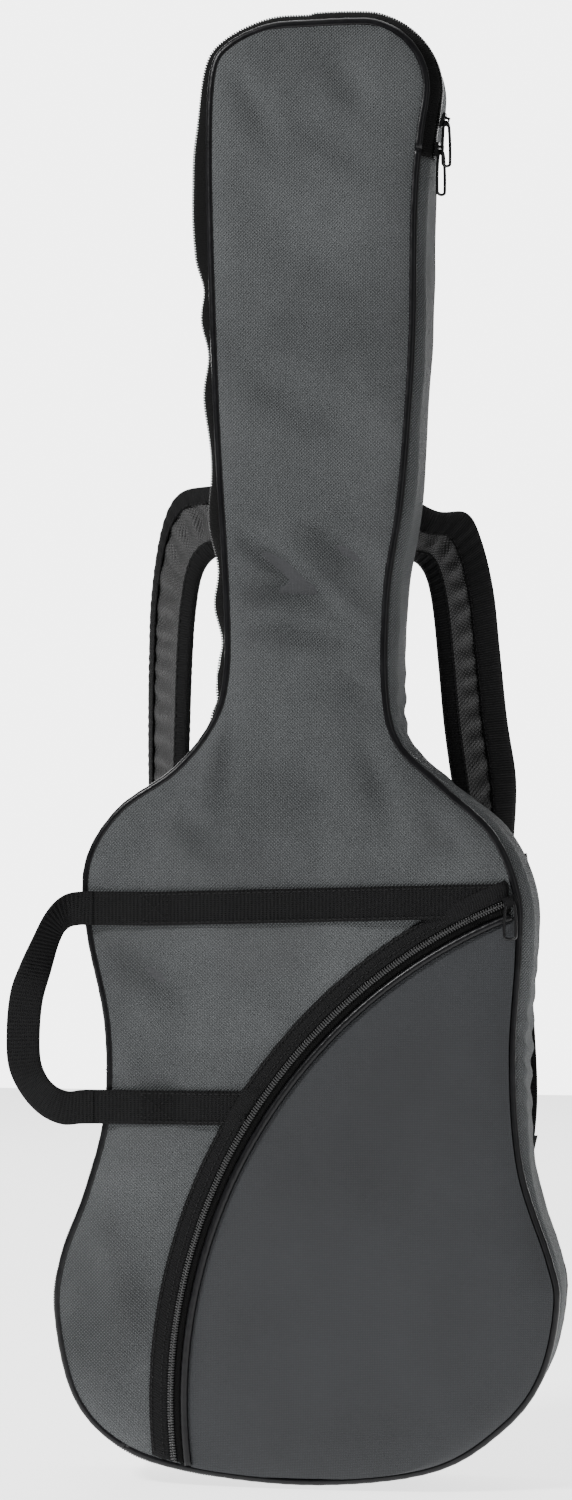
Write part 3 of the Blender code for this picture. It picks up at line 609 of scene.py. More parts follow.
def panel_rows(inset, columns, count):
    """Rows of (x, z) that cover the bag's outline."""
    heights = [point.y for point in inset_ring(inset)]
    low, high = min(heights) + 0.0002, max(heights) - 0.0002
    rows = []
    for i in range(count + 1):
        t = i / count
        eased = t - math.sin(2 * math.pi * t) / (2 * math.pi) * 0.94
        z = low + (high - low) * eased
        left, right = widths(z, inset)
        rows.append([
            (left + (right - left) * (0.5 - 0.5 * math.cos(math.pi * k / columns)), z)
            for k in range(columns + 1)
        ])
    return rows


def edge_distance(x, z):
    """Roughly how far a place is inside the piping's line."""
    found = widths(z, 0.0012)
    if not found:
        return 0.0
    top = max(0.0, 1.01 - z) if z > 0.9 else 1.0
    low = max(0.0, z - 0.003) if z < 0.1 else 1.0
    return max(0.0, min(x - found[0], found[1] - x, top, low))


# Soft folds of the front: (x, z) of both ends, width and depth in metres; a negative depth is a ridge
FOLDS = [
    ((-0.054, 0.662), (0.02, 0.612), 0.007, 0.0046), ((-0.052, 0.622), (0.015, 0.618), 0.0065, 0.0036),
    ((-0.048, 0.594), (0.03, 0.586), 0.0065, 0.003), ((-0.01, 0.64), (0.054, 0.592), 0.008, -0.0026),
    ((0.0, 0.662), (0.056, 0.63), 0.0075, 0.0034), ((0.02, 0.56), (0.054, 0.548), 0.0065, 0.0022),
    ((-0.052, 0.545), (-0.06, 0.455), 0.009, 0.0036), ((0.042, 0.515), (0.06, 0.455), 0.01, 0.0034),
    ((-0.055, 0.985), (-0.02, 0.93), 0.01, 0.0022), ((0.01, 1.0), (0.045, 0.945), 0.012, 0.0024),
    ((-0.02, 0.96), (0.055, 0.905), 0.016, 0.0024), ((-0.14, 0.38), (-0.08, 0.33), 0.012, 0.003),
    ((-0.13, 0.32), (-0.09, 0.25), 0.014, 0.0026), ((-0.15, 0.19), (-0.1, 0.06), 0.016, -0.0024),
    ((-0.06, 0.79), (0.04, 0.72), 0.016, 0.0024), ((0.055, 0.7), (-0.04, 0.65), 0.012, -0.0022),
    ((0.0, 0.5), (0.01, 0.42), 0.014, 0.0016), ((-0.09, 0.47), (-0.06, 0.43), 0.01, 0.0024),
    ((0.08, 0.47), (0.11, 0.435), 0.01, 0.0024), ((-0.05, 0.88), (0.05, 0.83), 0.018, 0.002),
]


def front_height(x, z):
    """How far the front fabric stands out from its seam plane."""
    inside = edge_distance(x, z)
    from_zip = abs((Vector((x, z)) - POCKET).length - POCKET_RADIUS - 0.004)
    held = 1.0 - 0.8 * math.exp(-((max(0.0, from_zip - 0.01) / 0.022) ** 2))
    crown = (1.0 - math.exp(-inside / 0.012)) * held
    height = 0.0062 * crown
    here = Vector((x, z))
    for start, end, width, depth in FOLDS:
        a, b = Vector(start), Vector(end)
        t = clamp((here - a).dot(b - a) / (b - a).length_squared)
        off = (a + (b - a) * t - here).length / width
        fade = math.sin(math.pi * (0.06 + 0.88 * t))
        height -= 2.4 * depth * math.exp(-off * off) * crown * fade
    where = Vector((x * 7, 3.0, z * 5))
    height += (noise.noise(where) * 0.0042 + noise.noise(where * 2.7) * 0.0017) * crown
    height += noise.noise(Vector((x * 60, 1.0, z * 42))) * 0.00035 * crown
    return height


def surface_y(x, z):
    """Depth of the front fabric's outer face."""
    return -DEPTH + 0.001 - front_height(x, z)


def flat_uv(point):
    return (point[0], point[2])


def panel(name, inset, columns, count, depth, made, thickness, offset, rear=False):
    """A panel over the bag's outline; depth(x, z) says how deep its face lies."""
    rows = [
        [at(x, depth(x, z), z) for x, z in (reversed(row) if rear else row)]
        for row in panel_rows(inset, columns, count)
    ]
    return sheet_mesh(name, rows, [made], thickness, uvs=flat_uv, offset=offset)


def make_front(looks):
    front = panel("front_fabric", PANEL_SEAM, 96, 420, surface_y, looks["grey"], 0.0014, 1.0)
    folds(front, "grey_polyester", "flap_outer", "front_outer")
    padding = panel("front_padding", PADDING_SEAM, 32, 120, inner_y, looks["lining"], 0.007, -1.0)
    folds(padding, "lining", "flap_foam", "flap_lining", "front_foam", "front_lining")


def inner_y(x, z):
    """Depth of the front lining's face, with soft unevenness."""
    return -DEPTH + 0.0098 + noise.noise(Vector((x * 22, 7.0, z * 14))) * 0.001


def back_y(x, z):
    crown = 1.0 - math.exp(-edge_distance(x, z) / 0.012)
    soft = noise.noise(Vector((x * 8, 11.0, z * 6))) * 0.0016
    return (0.0016 + soft) * crown - 0.0012


def back_inner_y(x, z):
    return -0.0098 + noise.noise(Vector((x * 20, 5.0, z * 12))) * 0.001


def make_back(looks):
    back = panel("back_fabric", PANEL_SEAM, 40, 150, back_y, looks["grey"], 0.0012, 1.0, rear=True)
    rides(back, "grey_polyester", "shell", "back_outer")
    padding = panel("back_padding", PADDING_SEAM, 32, 120, back_inner_y, looks["lining"], 0.0068, 1.0)
    rides(padding, "lining", "shell", "back_foam", "back_lining")


def band(name, stations, depths, made, lift):
    """A strip of cloth along the gusset, between two depths."""
    rows = [[gusset_point(station, y, lift) for y in depths] for station in stations]
    return sheet_mesh(name, rows, [made], 0.001)


# The gusset's padding in section: (depth, distance inside the gusset's outer face)
PADDING_SECTION = [
    (-0.0545, 0.0066), (-0.0545, 0.0096), (-0.035, 0.0104), (-0.016, 0.01), (-0.0105, 0.01),
    (-0.0105, 0.009), (-0.016, 0.0064), (-0.035, 0.0064),
]


def make_gusset(looks):
    plain = stretch(ZIP_TOP, ZIP_BOTTOM)
    zipped = stretch(ZIP_BOTTOM, ZIP_TOP)
    low, _ = fold_crossings()
    corner = corner_at(15)
    for name, stations, start, end, count, look, lift, nodes in (
        ("gusset_fabric", plain, BAND_FRONT, BAND_REAR, 20, "grey", 0.0, ["gusset_plain"]),
        ("gusset_strip", zipped, COIL_LINE + 0.0062, BAND_REAR, 14, "grey", 0.0, ["gusset_zip_strip"]),
        ("gusset_strip_hem", zipped, COIL_LINE + 0.0056, COIL_LINE + 0.0072, 2, "tape", 0.0007, []),
        ("zip_rear_tape", zipped, COIL_LINE + 0.0009, COIL_LINE + 0.0066, 4, "tape", 0.0, ["zip_tape_rear"]),
    ):
        piece = band(name, stations, evenly(start, end, count), looks[look], lift)
        rides(piece, "grey_polyester" if look == "grey" else "black_tape", "shell", *nodes)

    inner = []
    for point, outward in RING:
        edges = [(point + outward * (bulge(point.y) - into), y) for y, into in PADDING_SECTION]
        inner.append([at(edge.x, y, edge.y) for edge, y in edges])
    padding = sheet_mesh("gusset_padding", inner, [looks["lining"]], closed=True, rolled=True)
    faced_out(padding)
    rides(padding, "lining", "shell", "gusset_foam", "gusset_lining")

    front_depths = evenly(BAND_FRONT, COIL_LINE - 0.0009, 7)
    front_halves = (
        ("front", stretch(low, corner), "flap", ["zip_tape_front"], ["zip_coil_front"]),
        ("top", stretch(corner, ZIP_TOP), "shell", ["zip_closed_top"], []),
        ("bottom", stretch(ZIP_BOTTOM, low), "shell", ["zip_closed_bottom"], []),
    )
    for part, stations, body, tape_nodes, _ in front_halves:
        tape = band(f"zip_{part}_tape", stations, front_depths, looks["tape"], 0.0002)
        rides(tape, "black_tape", body, *tape_nodes)
    for part, stations, body, _, coil_nodes in front_halves:
        teeth(f"zip_{part}_teeth", stations, -0.0008, 0, looks, body, coil_nodes)
    teeth("zip_rear_teeth", zipped, 0.0008, 0.5, looks, "shell", ["zip_coil_rear"])


def coil(name, line, phase, reach_of, looks, body, nodes):
    """A coil's turns along a line, as separate small bricks; reach_of(along) is a turn's long way."""
    points = spaced(line, TOOTH_PITCH)
    frames = []
    for here, after in zip(points, points[1:]):
        along = (after - here).normalized()
        frames.append((here.lerp(after, phase), reach_of(along), along))
    rides(boxes(name, frames, TOOTH, looks["coil"]), "zip_coil", body, *nodes)


def teeth(name, stations, off_line, phase, looks, body, nodes):
    """One half of the main zip's coil, on the gusset."""
    line = [gusset_point(station, COIL_LINE + off_line, 0.0009) for station in stations]
    coil(name, line, phase, lambda along: -FRONT, looks, body, nodes)


def seam_frames(points, gap=STITCH_GAP):
    """Frames of the stitches of a seam that faces the front."""
    frames = []
    line = spaced(points, gap)
    for here, after in zip(line, line[1:]):
        along = (after - here).normalized()
        frames.append((here, along, FRONT.cross(along).normalized()))
    return frames


def stitches(name, points, looks, body):
    """A row of stitches along points, just above the tape."""
    frames = [(place + FRONT * 0.0002, along, across) for place, along, across in seam_frames(points)]
    rides(boxes(name, frames, STITCH, looks["thread"]), "black_tape", body)


def piping(name, points, radius, looks, body, node_name, closed=False):
    cord = tube(name, points, radius, looks["piping"], closed=closed, squeeze=puckered)
    rides(cord, "piping", body, node_name)


def make_piping(looks):
    low, high = fold_crossings()
    radius = PIPING + 0.0002
    for name, stations, body, replaced in (
        ("front_piping_cord", stretch(high, low), "shell", "front_piping"),
        ("flap_piping_cord", stretch(low, high), "flap", "flap_piping"),
    ):
        points = [at(point.x, -DEPTH + PIPING, point.y) for point, _ in stations]
        piping(name, points, radius, looks, body, replaced)
    points = [at(point.x, -PIPING, point.y) for point, _ in RING]
    piping("rear_piping_cord", points, radius, looks, "shell", "rear_piping", closed=True)


def puckered(i):
    """Piping swells a little between its stitches."""
    return 1.0 + 0.035 * math.sin(i * 2.1) + 0.03 * noise.noise(Vector((i * 0.35, 0.0, 0.0)))


# ---------------------------------------------------------------- pocket
def inside_bag(point, edge):
    found = widths(point.y, PANEL_SEAM)
    if not found or not found[0] + edge < point.x < found[1] - edge:
        return False
    return min((station[0] - point).length for station in RING[::2]) > edge * 0.9


@functools.lru_cache(maxsize=None)
def arc_ends(radius, edge):
    """First and last angle at which a circle about the pocket's centre is inside the piping."""
    inside = []
    for i in range(900):
        angle = math.radians(84 + i * 0.12)
        if inside_bag(POCKET + Vector((math.cos(angle), math.sin(angle))) * radius, edge):
            inside.append(angle)
    return inside[0], inside[-1]


def on_arc(radius, share, edge):
    first, last = arc_ends(radius, edge)
    angle = first + (last - first) * share
    return POCKET + Vector((math.cos(angle), math.sin(angle))) * radius


def strip(name, outer, inner, columns, looks, look, node_name, dome=0.0):
    """A curved strip of tape that follows the front's fabric."""
    rows = []
    for i in range(181):
        row = []
        for k in range(columns + 1):
            point = on_arc(outer + (inner - outer) * k / columns, i / 180, 0.003)
            y = surface_y(*point) - TAPE_LIFT - dome * math.sin(math.pi * k / columns) - over_webbing(*point)
            row.append(at(point.x, y, point.y))
        rows.append(row)
    tape = sheet_mesh(name, rows, [looks[look]], TAPE_THICKNESS)
    rides(tape, "black_tape", "shell", node_name)


def arc_line(radius, count, height, edge=0.003, lifted=False):
    """Places along an arc about the pocket's centre, a height above the front's fabric."""
    line = []
    for i in range(count + 1):
        point = on_arc(radius, i / count, edge)
        y = surface_y(*point) - height
        if lifted:
            y -= over_webbing(*point)
        line.append(at(point.x, y, point.y))
    return line


def make_pocket(looks):
    outer = POCKET_RADIUS + POCKET_TAPE
    lip = POCKET_RADIUS - POCKET_INNER
    strip("pocket_wide_tape", outer, POCKET_RADIUS + 0.0016, 6, looks, "binding", "pocket_tape_outer", 0.0006)
    strip("pocket_narrow_tape", POCKET_RADIUS - 0.0016, lip, 3, looks, "tape", "pocket_tape_inner")
    for side, radius, phase, nodes in (("outer", 0.0008, 0.0, ["pocket_coil"]), ("inner", -0.0008, 0.5, [])):
        line = arc_line(POCKET_RADIUS + radius, 180, 0.0015, lifted=True)
        coil(f"pocket_teeth_{side}", line, phase, lambda along: along.cross(-FRONT), looks, "shell", nodes)
    edge = lip - PIPING - 0.0002
    piping("pocket_piping_cord", arc_line(edge, 180, 0.0022), PIPING, looks, "shell", "pocket_piping")
    for row, radius in (("a", outer - 0.0016), ("b", POCKET_RADIUS + 0.0066)):
        stitches(f"pocket_wide_tape_seam_{row}", arc_line(radius, 120, 0.0016, 0.004), looks, "shell")
    make_pocket_panel(edge - 0.0012, looks)


def make_pocket_panel(reach, looks):
    """The pocket's fabric, within reach of the arc's centre and inside the piping."""
    rows = []
    low, top = 0.004, POCKET.y + reach * math.sin(math.radians(111.0))
    for i in range(131):
        z = low + (top - low) * (0.5 - 0.5 * math.cos(math.pi * i / 130))
        found = widths(z, PANEL_SEAM)
        if not found:
            continue
        across = math.sqrt(max(reach ** 2 - (z - POCKET.y) ** 2, 0.0))
        left = max(found[0], POCKET.x - across)
        if found[1] - left < 0.002:
            continue
        shares = [0.5 - 0.5 * math.cos(math.pi * k / 48) for k in range(49)]
        places = [left + (found[1] - left) * share for share in shares]
        rows.append([at(x, pocket_y(x, z, reach), z) for x in places])
    fabric = sheet_mesh("pocket_fabric", rows, [looks["pocket"]], 0.0012, uvs=flat_uv, offset=1.0)
    rides(fabric, "pocket_polyester", "shell", "pocket_panel")


def pocket_y(x, z, reach):
    """Depth of the pocket's fabric: puffed, dented softly by what lies behind it."""
    inside = min(edge_distance(x, z), max(0.0, reach - (Vector((x, z)) - POCKET).length))
    crown = 1.0 - math.exp(-inside / 0.014)
    soft = noise.noise(Vector((x * 9, 21.0, z * 7))) * 0.0024
    return min(-DEPTH - 0.001 - (0.0056 + soft) * crown, surface_y(x, z) - 0.0016)


# ---------------------------------------------------------------- handle
def run_height(x, z):
    """Height of a run's middle: the upper one climbs a little to the right."""
    return z + max(0.0, x + 0.11) * 0.027 if z == HANDLE_HIGH else z


def over_webbing(x, z):
    """How much a tape is lifted where a run of webbing passes under it."""
    high = abs(z - run_height(x, HANDLE_HIGH)) - WEBBING / 2
    low = abs(z - HANDLE_LOW) - WEBBING / 2
    past = POCKET_RADIUS + POCKET_TAPE - 0.009 - (Vector((x, z)) - POCKET).length
    share = clamp(max(1.0 - high / 0.002, min(1.0 - low / 0.002, 1.0 - past / 0.002)))
    return WEBBING_THICKNESS * share


def run_points(height, left, right):
    """Middle line of a run of webbing that lies on the front, from left to right."""
    points = []
    loose = -DEPTH - 0.004
    for x in evenly(left, right, 80):
        z = run_height(x, height)
        off_edge = max(0.0, -0.118 - x) / 0.039
        y = min(surface_y(max(x, -0.13), z + dz) for dz in (-0.009, 0.0, 0.009)) - 0.0013
        points.append(at(x, y + (loose - y) * min(1.0, off_edge) ** 1.5, z))
    return points


def webbing(name, points, acrosses, made, thickness=WEBBING_THICKNESS):
    """A ribbon along points; acrosses are half its width, as vectors."""
    rows = []
    for point, across in zip(points, acrosses):
        rows.append([point + across * (2 * k / 8 - 1) for k in range(9)])
    return sheet_mesh(name, rows, [made], thickness, offset=0.0)


# The free loop of the handle: (middle of the webbing, the way its width points)
LOOP = [
    ((-0.15, -0.08, 0.3985), (0, 0, 1)),
    ((-0.159, -0.0805, 0.3985), (0.05, 0, 1)),
    ((-0.168, -0.0825, 0.3965), (-0.1, -0.25, 0.95)),
    ((-0.176, -0.0845, 0.389), (-0.4, -0.72, 0.56)),
    ((-0.183, -0.0845, 0.3755), (-0.6, -0.78, 0.2)),
    ((-0.1905, -0.0825, 0.357), (-0.8, -0.56, 0.2)),
    ((-0.1975, -0.08, 0.337), (-0.96, -0.22, 0.16)),
    ((-0.2003, -0.0785, 0.313), (-1, -0.05, 0)),
    ((-0.1995, -0.078, 0.29), (-1, 0.02, -0.1)),
    ((-0.1925, -0.079, 0.2745), (-0.78, 0.22, -0.58)),
    ((-0.182, -0.0805, 0.264), (-0.5, 0.16, -0.86)),
    ((-0.17, -0.0805, 0.259), (-0.16, 0, -1)),
    ((-0.159, -0.08, 0.2598), (0, 0, -1)),
    ((-0.15, -0.0795, 0.26), (0, 0, -1)),
]


def make_handle(looks):
    half = Vector((0, 0, WEBBING / 2))
    tape_x = widths(HANDLE_HIGH, PANEL_SEAM)[1] - 0.005
    rise_to_top = HANDLE_LOW + WEBBING / 2 - POCKET.y
    low_x = POCKET.x - math.sqrt((POCKET_RADIUS + POCKET_TAPE - 0.002) ** 2 - rise_to_top ** 2)
    for name, z, right, nodes in (
        ("handle_upper_run", HANDLE_HIGH, tape_x, ("handle_run_upper", "handle_end_upper")),
        ("handle_lower_run", HANDLE_LOW, low_x, ("handle_run_lower",)),
    ):
        points = run_points(z, HANDLE_EDGE + 0.0006, right)
        run = webbing(name, points, [half] * len(points), looks["webbing"])
        folds(run, "black_webbing", *nodes)
        for part, edge in (("low", -0.0098), ("high", 0.0098)):
            line = [point + Vector((0, -0.0009, edge)) for point in points if point.x > -0.115]
            row = boxes(f"{name}_seam_{part}", seam_frames(line), STITCH, looks["thread"])
            folds(row, "black_webbing")
        box_stitch(name + "_bar", points, looks)

    middle = rounded([at(*place) for place, _ in LOOP])
    turning = rounded([across for _, across in LOOP])
    acrosses = [across.normalized() * WEBBING / 2 for across in turning]
    loop = webbing("handle_webbing_loop", middle, acrosses, looks["webbing"])
    wears(loop, "black_webbing", "handle_loop")
    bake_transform(loop)


def box_stitch(name, points, looks):
    """Cross of stitches where the handle's webbing starts to be sewn down."""
    sewn = [point for point in points if -0.116 < point.x < -0.094]
    up, down = Vector((0, -0.0009, 0.009)), Vector((0, -0.0009, -0.009))
    left_top, left_low = sewn[0] + up, sewn[0] + down
    right_top, right_low = sewn[-1] + up, sewn[-1] + down
    frames = []
    for a, b in (
        (left_top, left_low), (right_top, right_low), (left_top, right_low), (left_low, right_top),
    ):
        frames += seam_frames([a, b], 0.003)
    row = boxes(name, frames, (0.0021, 0.0007, 0.0006), looks["thread"])
    rides(row, "black_webbing", "flap")


# ---------------------------------------------------------------- straps
# Each strap's edges, outer and inner, from the patch on the back down to the ladder lock
STRAP_RIGHT = (
    [
        (0.03, 0.006, 0.693), (0.052, 0.01, 0.693), (0.08, 0.015, 0.679),
        (0.1, 0.026, 0.678), (0.1095, 0.034, 0.66),
        (0.118, 0.036, 0.624), (0.123, 0.037, 0.577), (0.128, 0.037, 0.53),
        (0.1345, 0.036, 0.486), (0.133, 0.03, 0.44),
    ],
    [
        (0.03, 0.005, 0.646), (0.052, 0.008, 0.646), (0.06, 0.009, 0.645),
        (0.068, 0.012, 0.642), (0.0745, 0.013, 0.631),
        (0.079, 0.013, 0.609), (0.083, 0.013, 0.569), (0.087, 0.013, 0.526),
        (0.093, 0.013, 0.483), (0.101, 0.012, 0.436),
    ],
)
STRAP_LEFT = (
    [
        (-0.03, 0.006, 0.696), (-0.052, 0.01, 0.697), (-0.086, 0.018, 0.698),
        (-0.109, 0.032, 0.693),
        (-0.122, 0.04, 0.669), (-0.13, 0.044, 0.622), (-0.132, 0.045, 0.576),
        (-0.1325, 0.045, 0.53), (-0.132, 0.044, 0.486), (-0.129, 0.036, 0.44),
    ],
    [
        (-0.03, 0.005, 0.649), (-0.052, 0.008, 0.65), (-0.066, 0.009, 0.65),
        (-0.08, 0.011, 0.648),
        (-0.09, 0.012, 0.635), (-0.095, 0.012, 0.607), (-0.0975, 0.012, 0.57),
        (-0.099, 0.012, 0.526), (-0.1005, 0.012, 0.483), (-0.102, 0.012, 0.436),
    ],
)


def strap_frames(side):
    """Stations along a strap: middle, half its width, unit normal towards the front, distance along."""
    outer, inner = STRAP_RIGHT if side == "right" else STRAP_LEFT
    a, b = rounded(outer, steps=14), rounded(inner, steps=14)
    frames, gone = [], 0.0
    for i, (p, q) in enumerate(zip(a, b)):
        middle = (p + q) / 2
        before = (a[max(i - 1, 0)] + b[max(i - 1, 0)]) / 2
        after = (a[min(i + 1, len(a) - 1)] + b[min(i + 1, len(b) - 1)]) / 2
        along = (after - before).normalized()
        across = (p - q) / 2
        face = across.cross(along).normalized()
        if face.y > 0:
            face = -face
        gone += (middle - before).length if i else 0.0
        frames.append((middle + Vector((0, 0, LIFT)), across, face, gone))
    return frames


def strap_half(share):
    """Half thickness of the pad at a share of its half width."""
    return 0.0044 * (1.0 - abs(share) ** 3.5) + 0.0006


def make_strap(side, looks):
    frames = strap_frames(side)
    make_pad(side, frames, looks)
    make_hems(side, frames, looks)
    make_strap_end(side, frames[-1][0], looks)


# Share of the strap's width that its outer hem covers on the face, and on the rear
HEM_FACE = {"right": 0.92, "left": 0.5}
HEM_REAR = 0.3


def make_pad(side, frames, looks):
    """The padded part: mesh towards the wearer, grey cloth behind, with pleats between the hems."""
    body = "strap_" + side
    columns = [k / 10 - 1 for k in range(21)]
    middle_share, reach = (0.62 - HEM_FACE[side]) / 2, (1.62 - HEM_FACE[side]) / 2
    rows = []
    for middle, across, face, gone in frames:
        row = []
        for share in columns:
            waver = 3.0 * noise.noise(Vector((share * 1.5, gone * 24, 3.0)))
            pleat = math.sin(gone * 400 + waver) * 0.002
            pleat *= max(0.0, 1 - ((share - middle_share) / reach) ** 2)
            soft = noise.noise(Vector((share * 2.0, gone * 40, 9.0))) * 0.0006
            row.append(middle + across * share * 0.985 + face * (strap_half(share) + pleat + soft))
        for share in reversed(columns[1:-1]):
            soft = noise.noise(Vector((share * 1.2, gone * 18, 15.0))) * 0.0011
            row.append(middle + across * share * 0.985 - face * (strap_half(share) + soft))
        rows.append(row)
    front = len(columns) - 1
    cloths = [looks["mesh"], looks["grey"]]
    pad = sheet_mesh(body + "_pad", rows, cloths, rolled=True, pick=lambda k: 0 if k < front else 1)
    faced_out(pad, fill=True)
    wears(pad, "spacer_mesh", body + "_foam", body + "_mesh", body + "_outer")
    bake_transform(pad)


def make_hems(side, frames, looks):
    """Tape folded round both edges of the pad, with its seam."""
    body = "strap_" + side
    for part, sign, face_width in (("outer", 1, HEM_FACE[side]), ("inner", -1, 0.38)):
        hem = []
        for middle, across, face, gone in frames:
            row = []
            crimp = 0.0003 * math.sin(gone * 900)
            for t in evenly(0.0, 1.0, 5):
                share = 1.0 - face_width * (1 - t)
                row.append(middle + across * sign * share + face * (strap_half(share) + 0.0015 + crimp))
            for t in evenly(-60, 60, 4):
                turn = math.radians(t)
                row.append(
                    middle + across * sign * (1.0 + math.cos(turn) * 0.03)
                    - face * math.sin(turn) * 0.0016
                )
            for t in evenly(0.0, 1.0, 5):
                share = 1.0 - HEM_REAR * t
                row.append(middle + across * sign * share - face * (strap_half(share) + 0.0011 + crimp))
            if sign > 0:
                row.reverse()
            hem.append(row)
        tape = sheet_mesh(f"{body}_hem_{part}", hem, [looks["binding"]], 0.0005, offset=0.0)
        wears(tape, "black_tape", f"{body}_binding_{part}")
        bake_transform(tape)
        share = 1.0 - face_width + 0.05
        lift = strap_half(share) + 0.0017
        line = [middle + across * sign * share + face * lift for middle, across, face, _ in frames]
        line = [point for point in line if abs(point.x) > 0.066]
        stitches(f"{body}_hem_{part}_seam", line, looks, body)


def make_strap_end(side, end, looks):
    """Tab round the ladder lock's upper bar, lock, webbing to the lower anchor, and its free tail."""
    body = "strap_" + side
    sign = 1 if side == "right" else -1
    dress(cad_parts[body + "_ladder_lock"], looks["lock"], 0.0009)
    low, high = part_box(body + "_ladder_lock")
    centre = (Vector(low) + Vector(high)) / 2
    anchor = at(STRAP_ANCHOR[0] * sign, *STRAP_ANCHOR[1:])
    down = (anchor - end).normalized()
    side_way = Vector((0, 1, 0)).cross(down).normalized()
    face = down.cross(side_way).normalized()
    half = side_way * (WEBBING / 2)
    edge_on = Vector((0.003 * sign, 0.0095, 0.002))

    tab = [
        end - down * 0.022 + face * 0.0056,
        end + face * 0.0052,
        end + down * 0.005 + face * 0.0034,
        centre - down * 0.0075 + face * 0.0034,
        centre - down * 0.006,
        centre - down * 0.0078 - face * 0.0034,
        end + down * 0.005 - face * 0.004,
        end - face * 0.0056,
        end - down * 0.02 - face * 0.006,
    ]
    points = rounded(tab, steps=6)
    strap_piece(body + "_lock_tab", points, [half * 0.92] * len(points), looks, body)

    sag = [
        centre + down * 0.0068 + face * 0.0036,
        centre + down * 0.0085 + face * 0.001,
        centre + down * 0.03,
        centre.lerp(anchor, 0.5) + Vector((0, 0.004, 0)),
        centre.lerp(anchor, 0.78) + Vector((0, 0.003, 0)),
        anchor,
    ]
    turns = [half, half, half, half, half * 0.8 + edge_on * 0.3, half * 0.55 + edge_on * 0.7]
    turns = [turn.normalized() * WEBBING / 2 for turn in rounded(turns, steps=10)]
    strap_piece(body + "_strap_webbing", rounded(sag, steps=10), turns, looks, body, body + "_webbing")

    if side == "right":
        tail = [
            centre + down * 0.006 - face * 0.004,
            centre + down * 0.014 - face * 0.006,
            centre + down * 0.045 + Vector((-0.009, 0.01, 0)),
            centre + down * 0.08 + Vector((-0.011, 0.011, 0)),
            centre + down * 0.105 + Vector((-0.009, 0.01, 0)),
        ]
    else:
        tail = [
            centre + down * 0.006 - face * 0.004, centre + Vector((-0.008, 0.008, -0.013)),
            centre + Vector((-0.019, 0.01, -0.012)), centre + Vector((-0.024, 0.009, -0.002)),
            centre + Vector((-0.022, 0.008, 0.008)),
        ]
    points = rounded(tail, steps=8)
    strap_piece(body + "_free_tail", points, [half * 0.94] * len(points), looks, body, body + "_tail")


def strap_piece(name, points, acrosses, looks, body, *nodes):
    piece = webbing(name, points, acrosses, looks["webbing"])
    rides(piece, "black_webbing", body, *nodes)


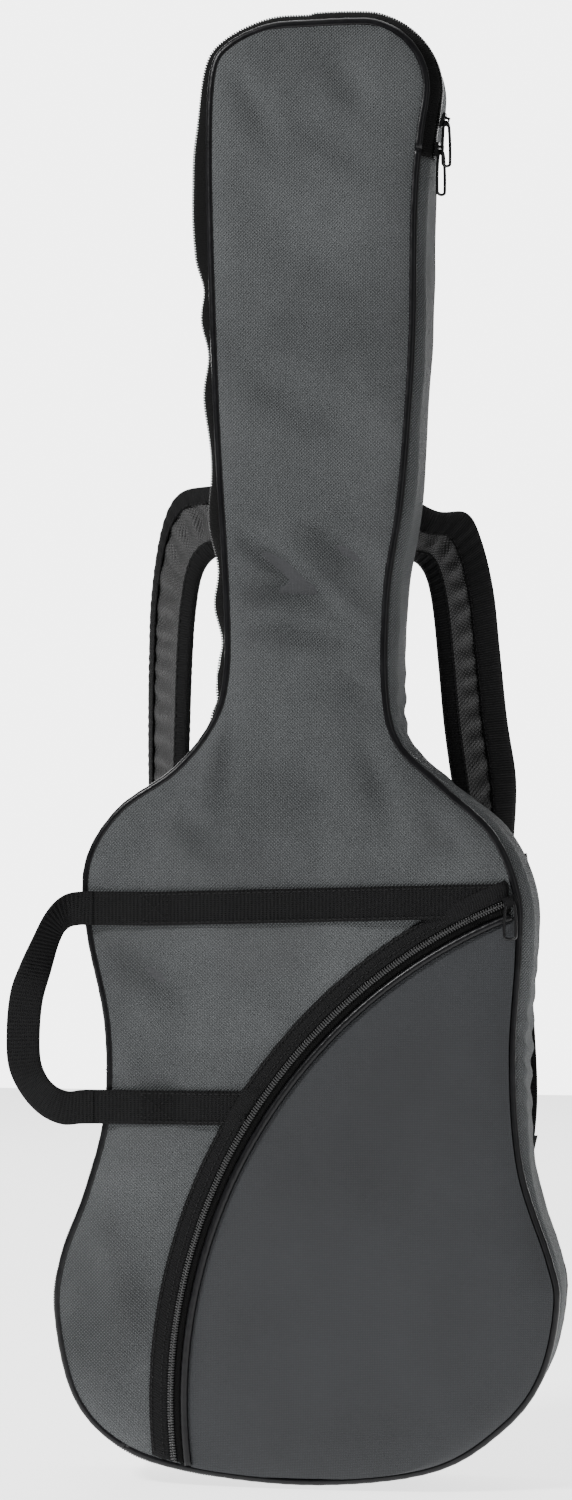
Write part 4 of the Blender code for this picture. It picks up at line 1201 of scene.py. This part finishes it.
def make_anchors(looks):
    rows = []
    for i, z in enumerate(evenly(0.643, 0.697, 12)):
        edge = min(i, 12 - i) / 6
        y = 0.0012 + 0.003 * (1 - (1 - min(1.0, edge * 2)) ** 2)
        rows.append([at(x, y, z) for x in evenly(-0.043, 0.043, 24)])
    patch = sheet_mesh("anchor_patch", rows, [looks["binding"]], 0.0022)
    rides(patch, "black_webbing", "shell", "strap_anchor_patch")
    frames = []
    for z in (0.6475, 0.6925):
        frames += seam_frames([at(x, 0.0036, z) for x in (-0.04, 0.04)], 0.0038)
    for x in (-0.039, 0.0, 0.039):
        frames += seam_frames([at(x, 0.0046, z) for z in (0.649, 0.691)], 0.0038)
    row = boxes("anchor_patch_seams", frames, STITCH, looks["grey_thread"])
    rides(row, "black_webbing", "shell")
    for side, sign in (("left", -1), ("right", 1)):
        points = rounded([
            at(0.118 * sign, 0.0018, 0.19), at(0.129 * sign, 0.0022, 0.201),
            at(0.136 * sign, 0.006, 0.214), at(0.141 * sign, 0.011, 0.226),
            at(0.144 * sign, 0.0128, 0.2345),
        ], steps=5)
        turns = rounded([(1, 0, 0), (1, 0, 0), (0.9, 0.2, 0), (0.6, 0.5, 0), (0.5, 0.6, 0)], steps=5)
        acrosses = [Vector((turn.x, turn.y * sign, 0)).normalized() * WEBBING / 2 for turn in turns]
        tab = webbing(f"tab_{side}", points, acrosses, looks["webbing"], 0.0018)
        rides(tab, "black_webbing", "shell", f"strap_tab_{side}")


# ---------------------------------------------------------------- sliders
def dress(obj, made, bevel):
    """Give a hard CAD piece its finish and softened edges."""
    obj.data.materials.clear()
    obj.data.materials.append(made)
    edge = obj.modifiers.new("softened", "BEVEL")
    edge.width = bevel
    edge.segments = 2
    edge.limit_method = "ANGLE"
    edge.angle_limit = math.radians(40)


# Half of a wire pull's outline: (share across, share along)
PULL_HALF = [(0.4, 0.97), (0.5, 0.9), (0.5, 0.55), (0.42, 0.24), (0.34, 0.1), (0.16, 0.02)]
PULL_WIRE = 0.00105


def wire_pull(name, pivot, wide, length, width, looks, body, node_name):
    """A wire frame that hangs from a slider: narrow at the slider, wide at its end."""
    shares = [(-across, along) for across, along in reversed(PULL_HALF)] + [(0.0, 1.0)] + PULL_HALF
    line = [pivot + wide * (across * width) + DOWN * (along * length) for across, along in shares]
    wire = tube(name, rounded(line, closed=True, steps=3), PULL_WIRE, looks["metal"], closed=True, sides=8)
    rides(wire, "slider_metal", body, node_name)


def make_sliders(looks):
    for name in ("main_slider_upper", "main_slider_lower", "pocket_slider"):
        dress(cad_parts[name], looks["metal"], 0.0003)
    wide = Vector((0.62, 0.78, 0)).normalized()
    for level, pivot in (("upper", (0.0951, -0.0569, 0.6155)), ("lower", (0.0914, -0.0569, 0.5956))):
        wire_pull(
            f"{level}_wire_pull", Vector(pivot), wide, 0.031, 0.0074, looks,
            f"pull_{level}", f"main_pull_{level}",
        )
    wire_pull(
        "pocket_wire_pull", Vector((0.14185, -0.0826, 0.076)), Vector((1, 0, 0)), 0.027, 0.008, looks,
        "pull_pocket", "pocket_pull",
    )


def main():
    make_camera()
    make_studio()
    looks = make_materials()
    make_front(looks)
    make_back(looks)
    make_gusset(looks)
    make_piping(looks)
    make_pocket(looks)
    make_handle(looks)
    for side in ("right", "left"):
        make_strap(side, looks)
    make_anchors(looks)
    make_sliders(looks)


main()
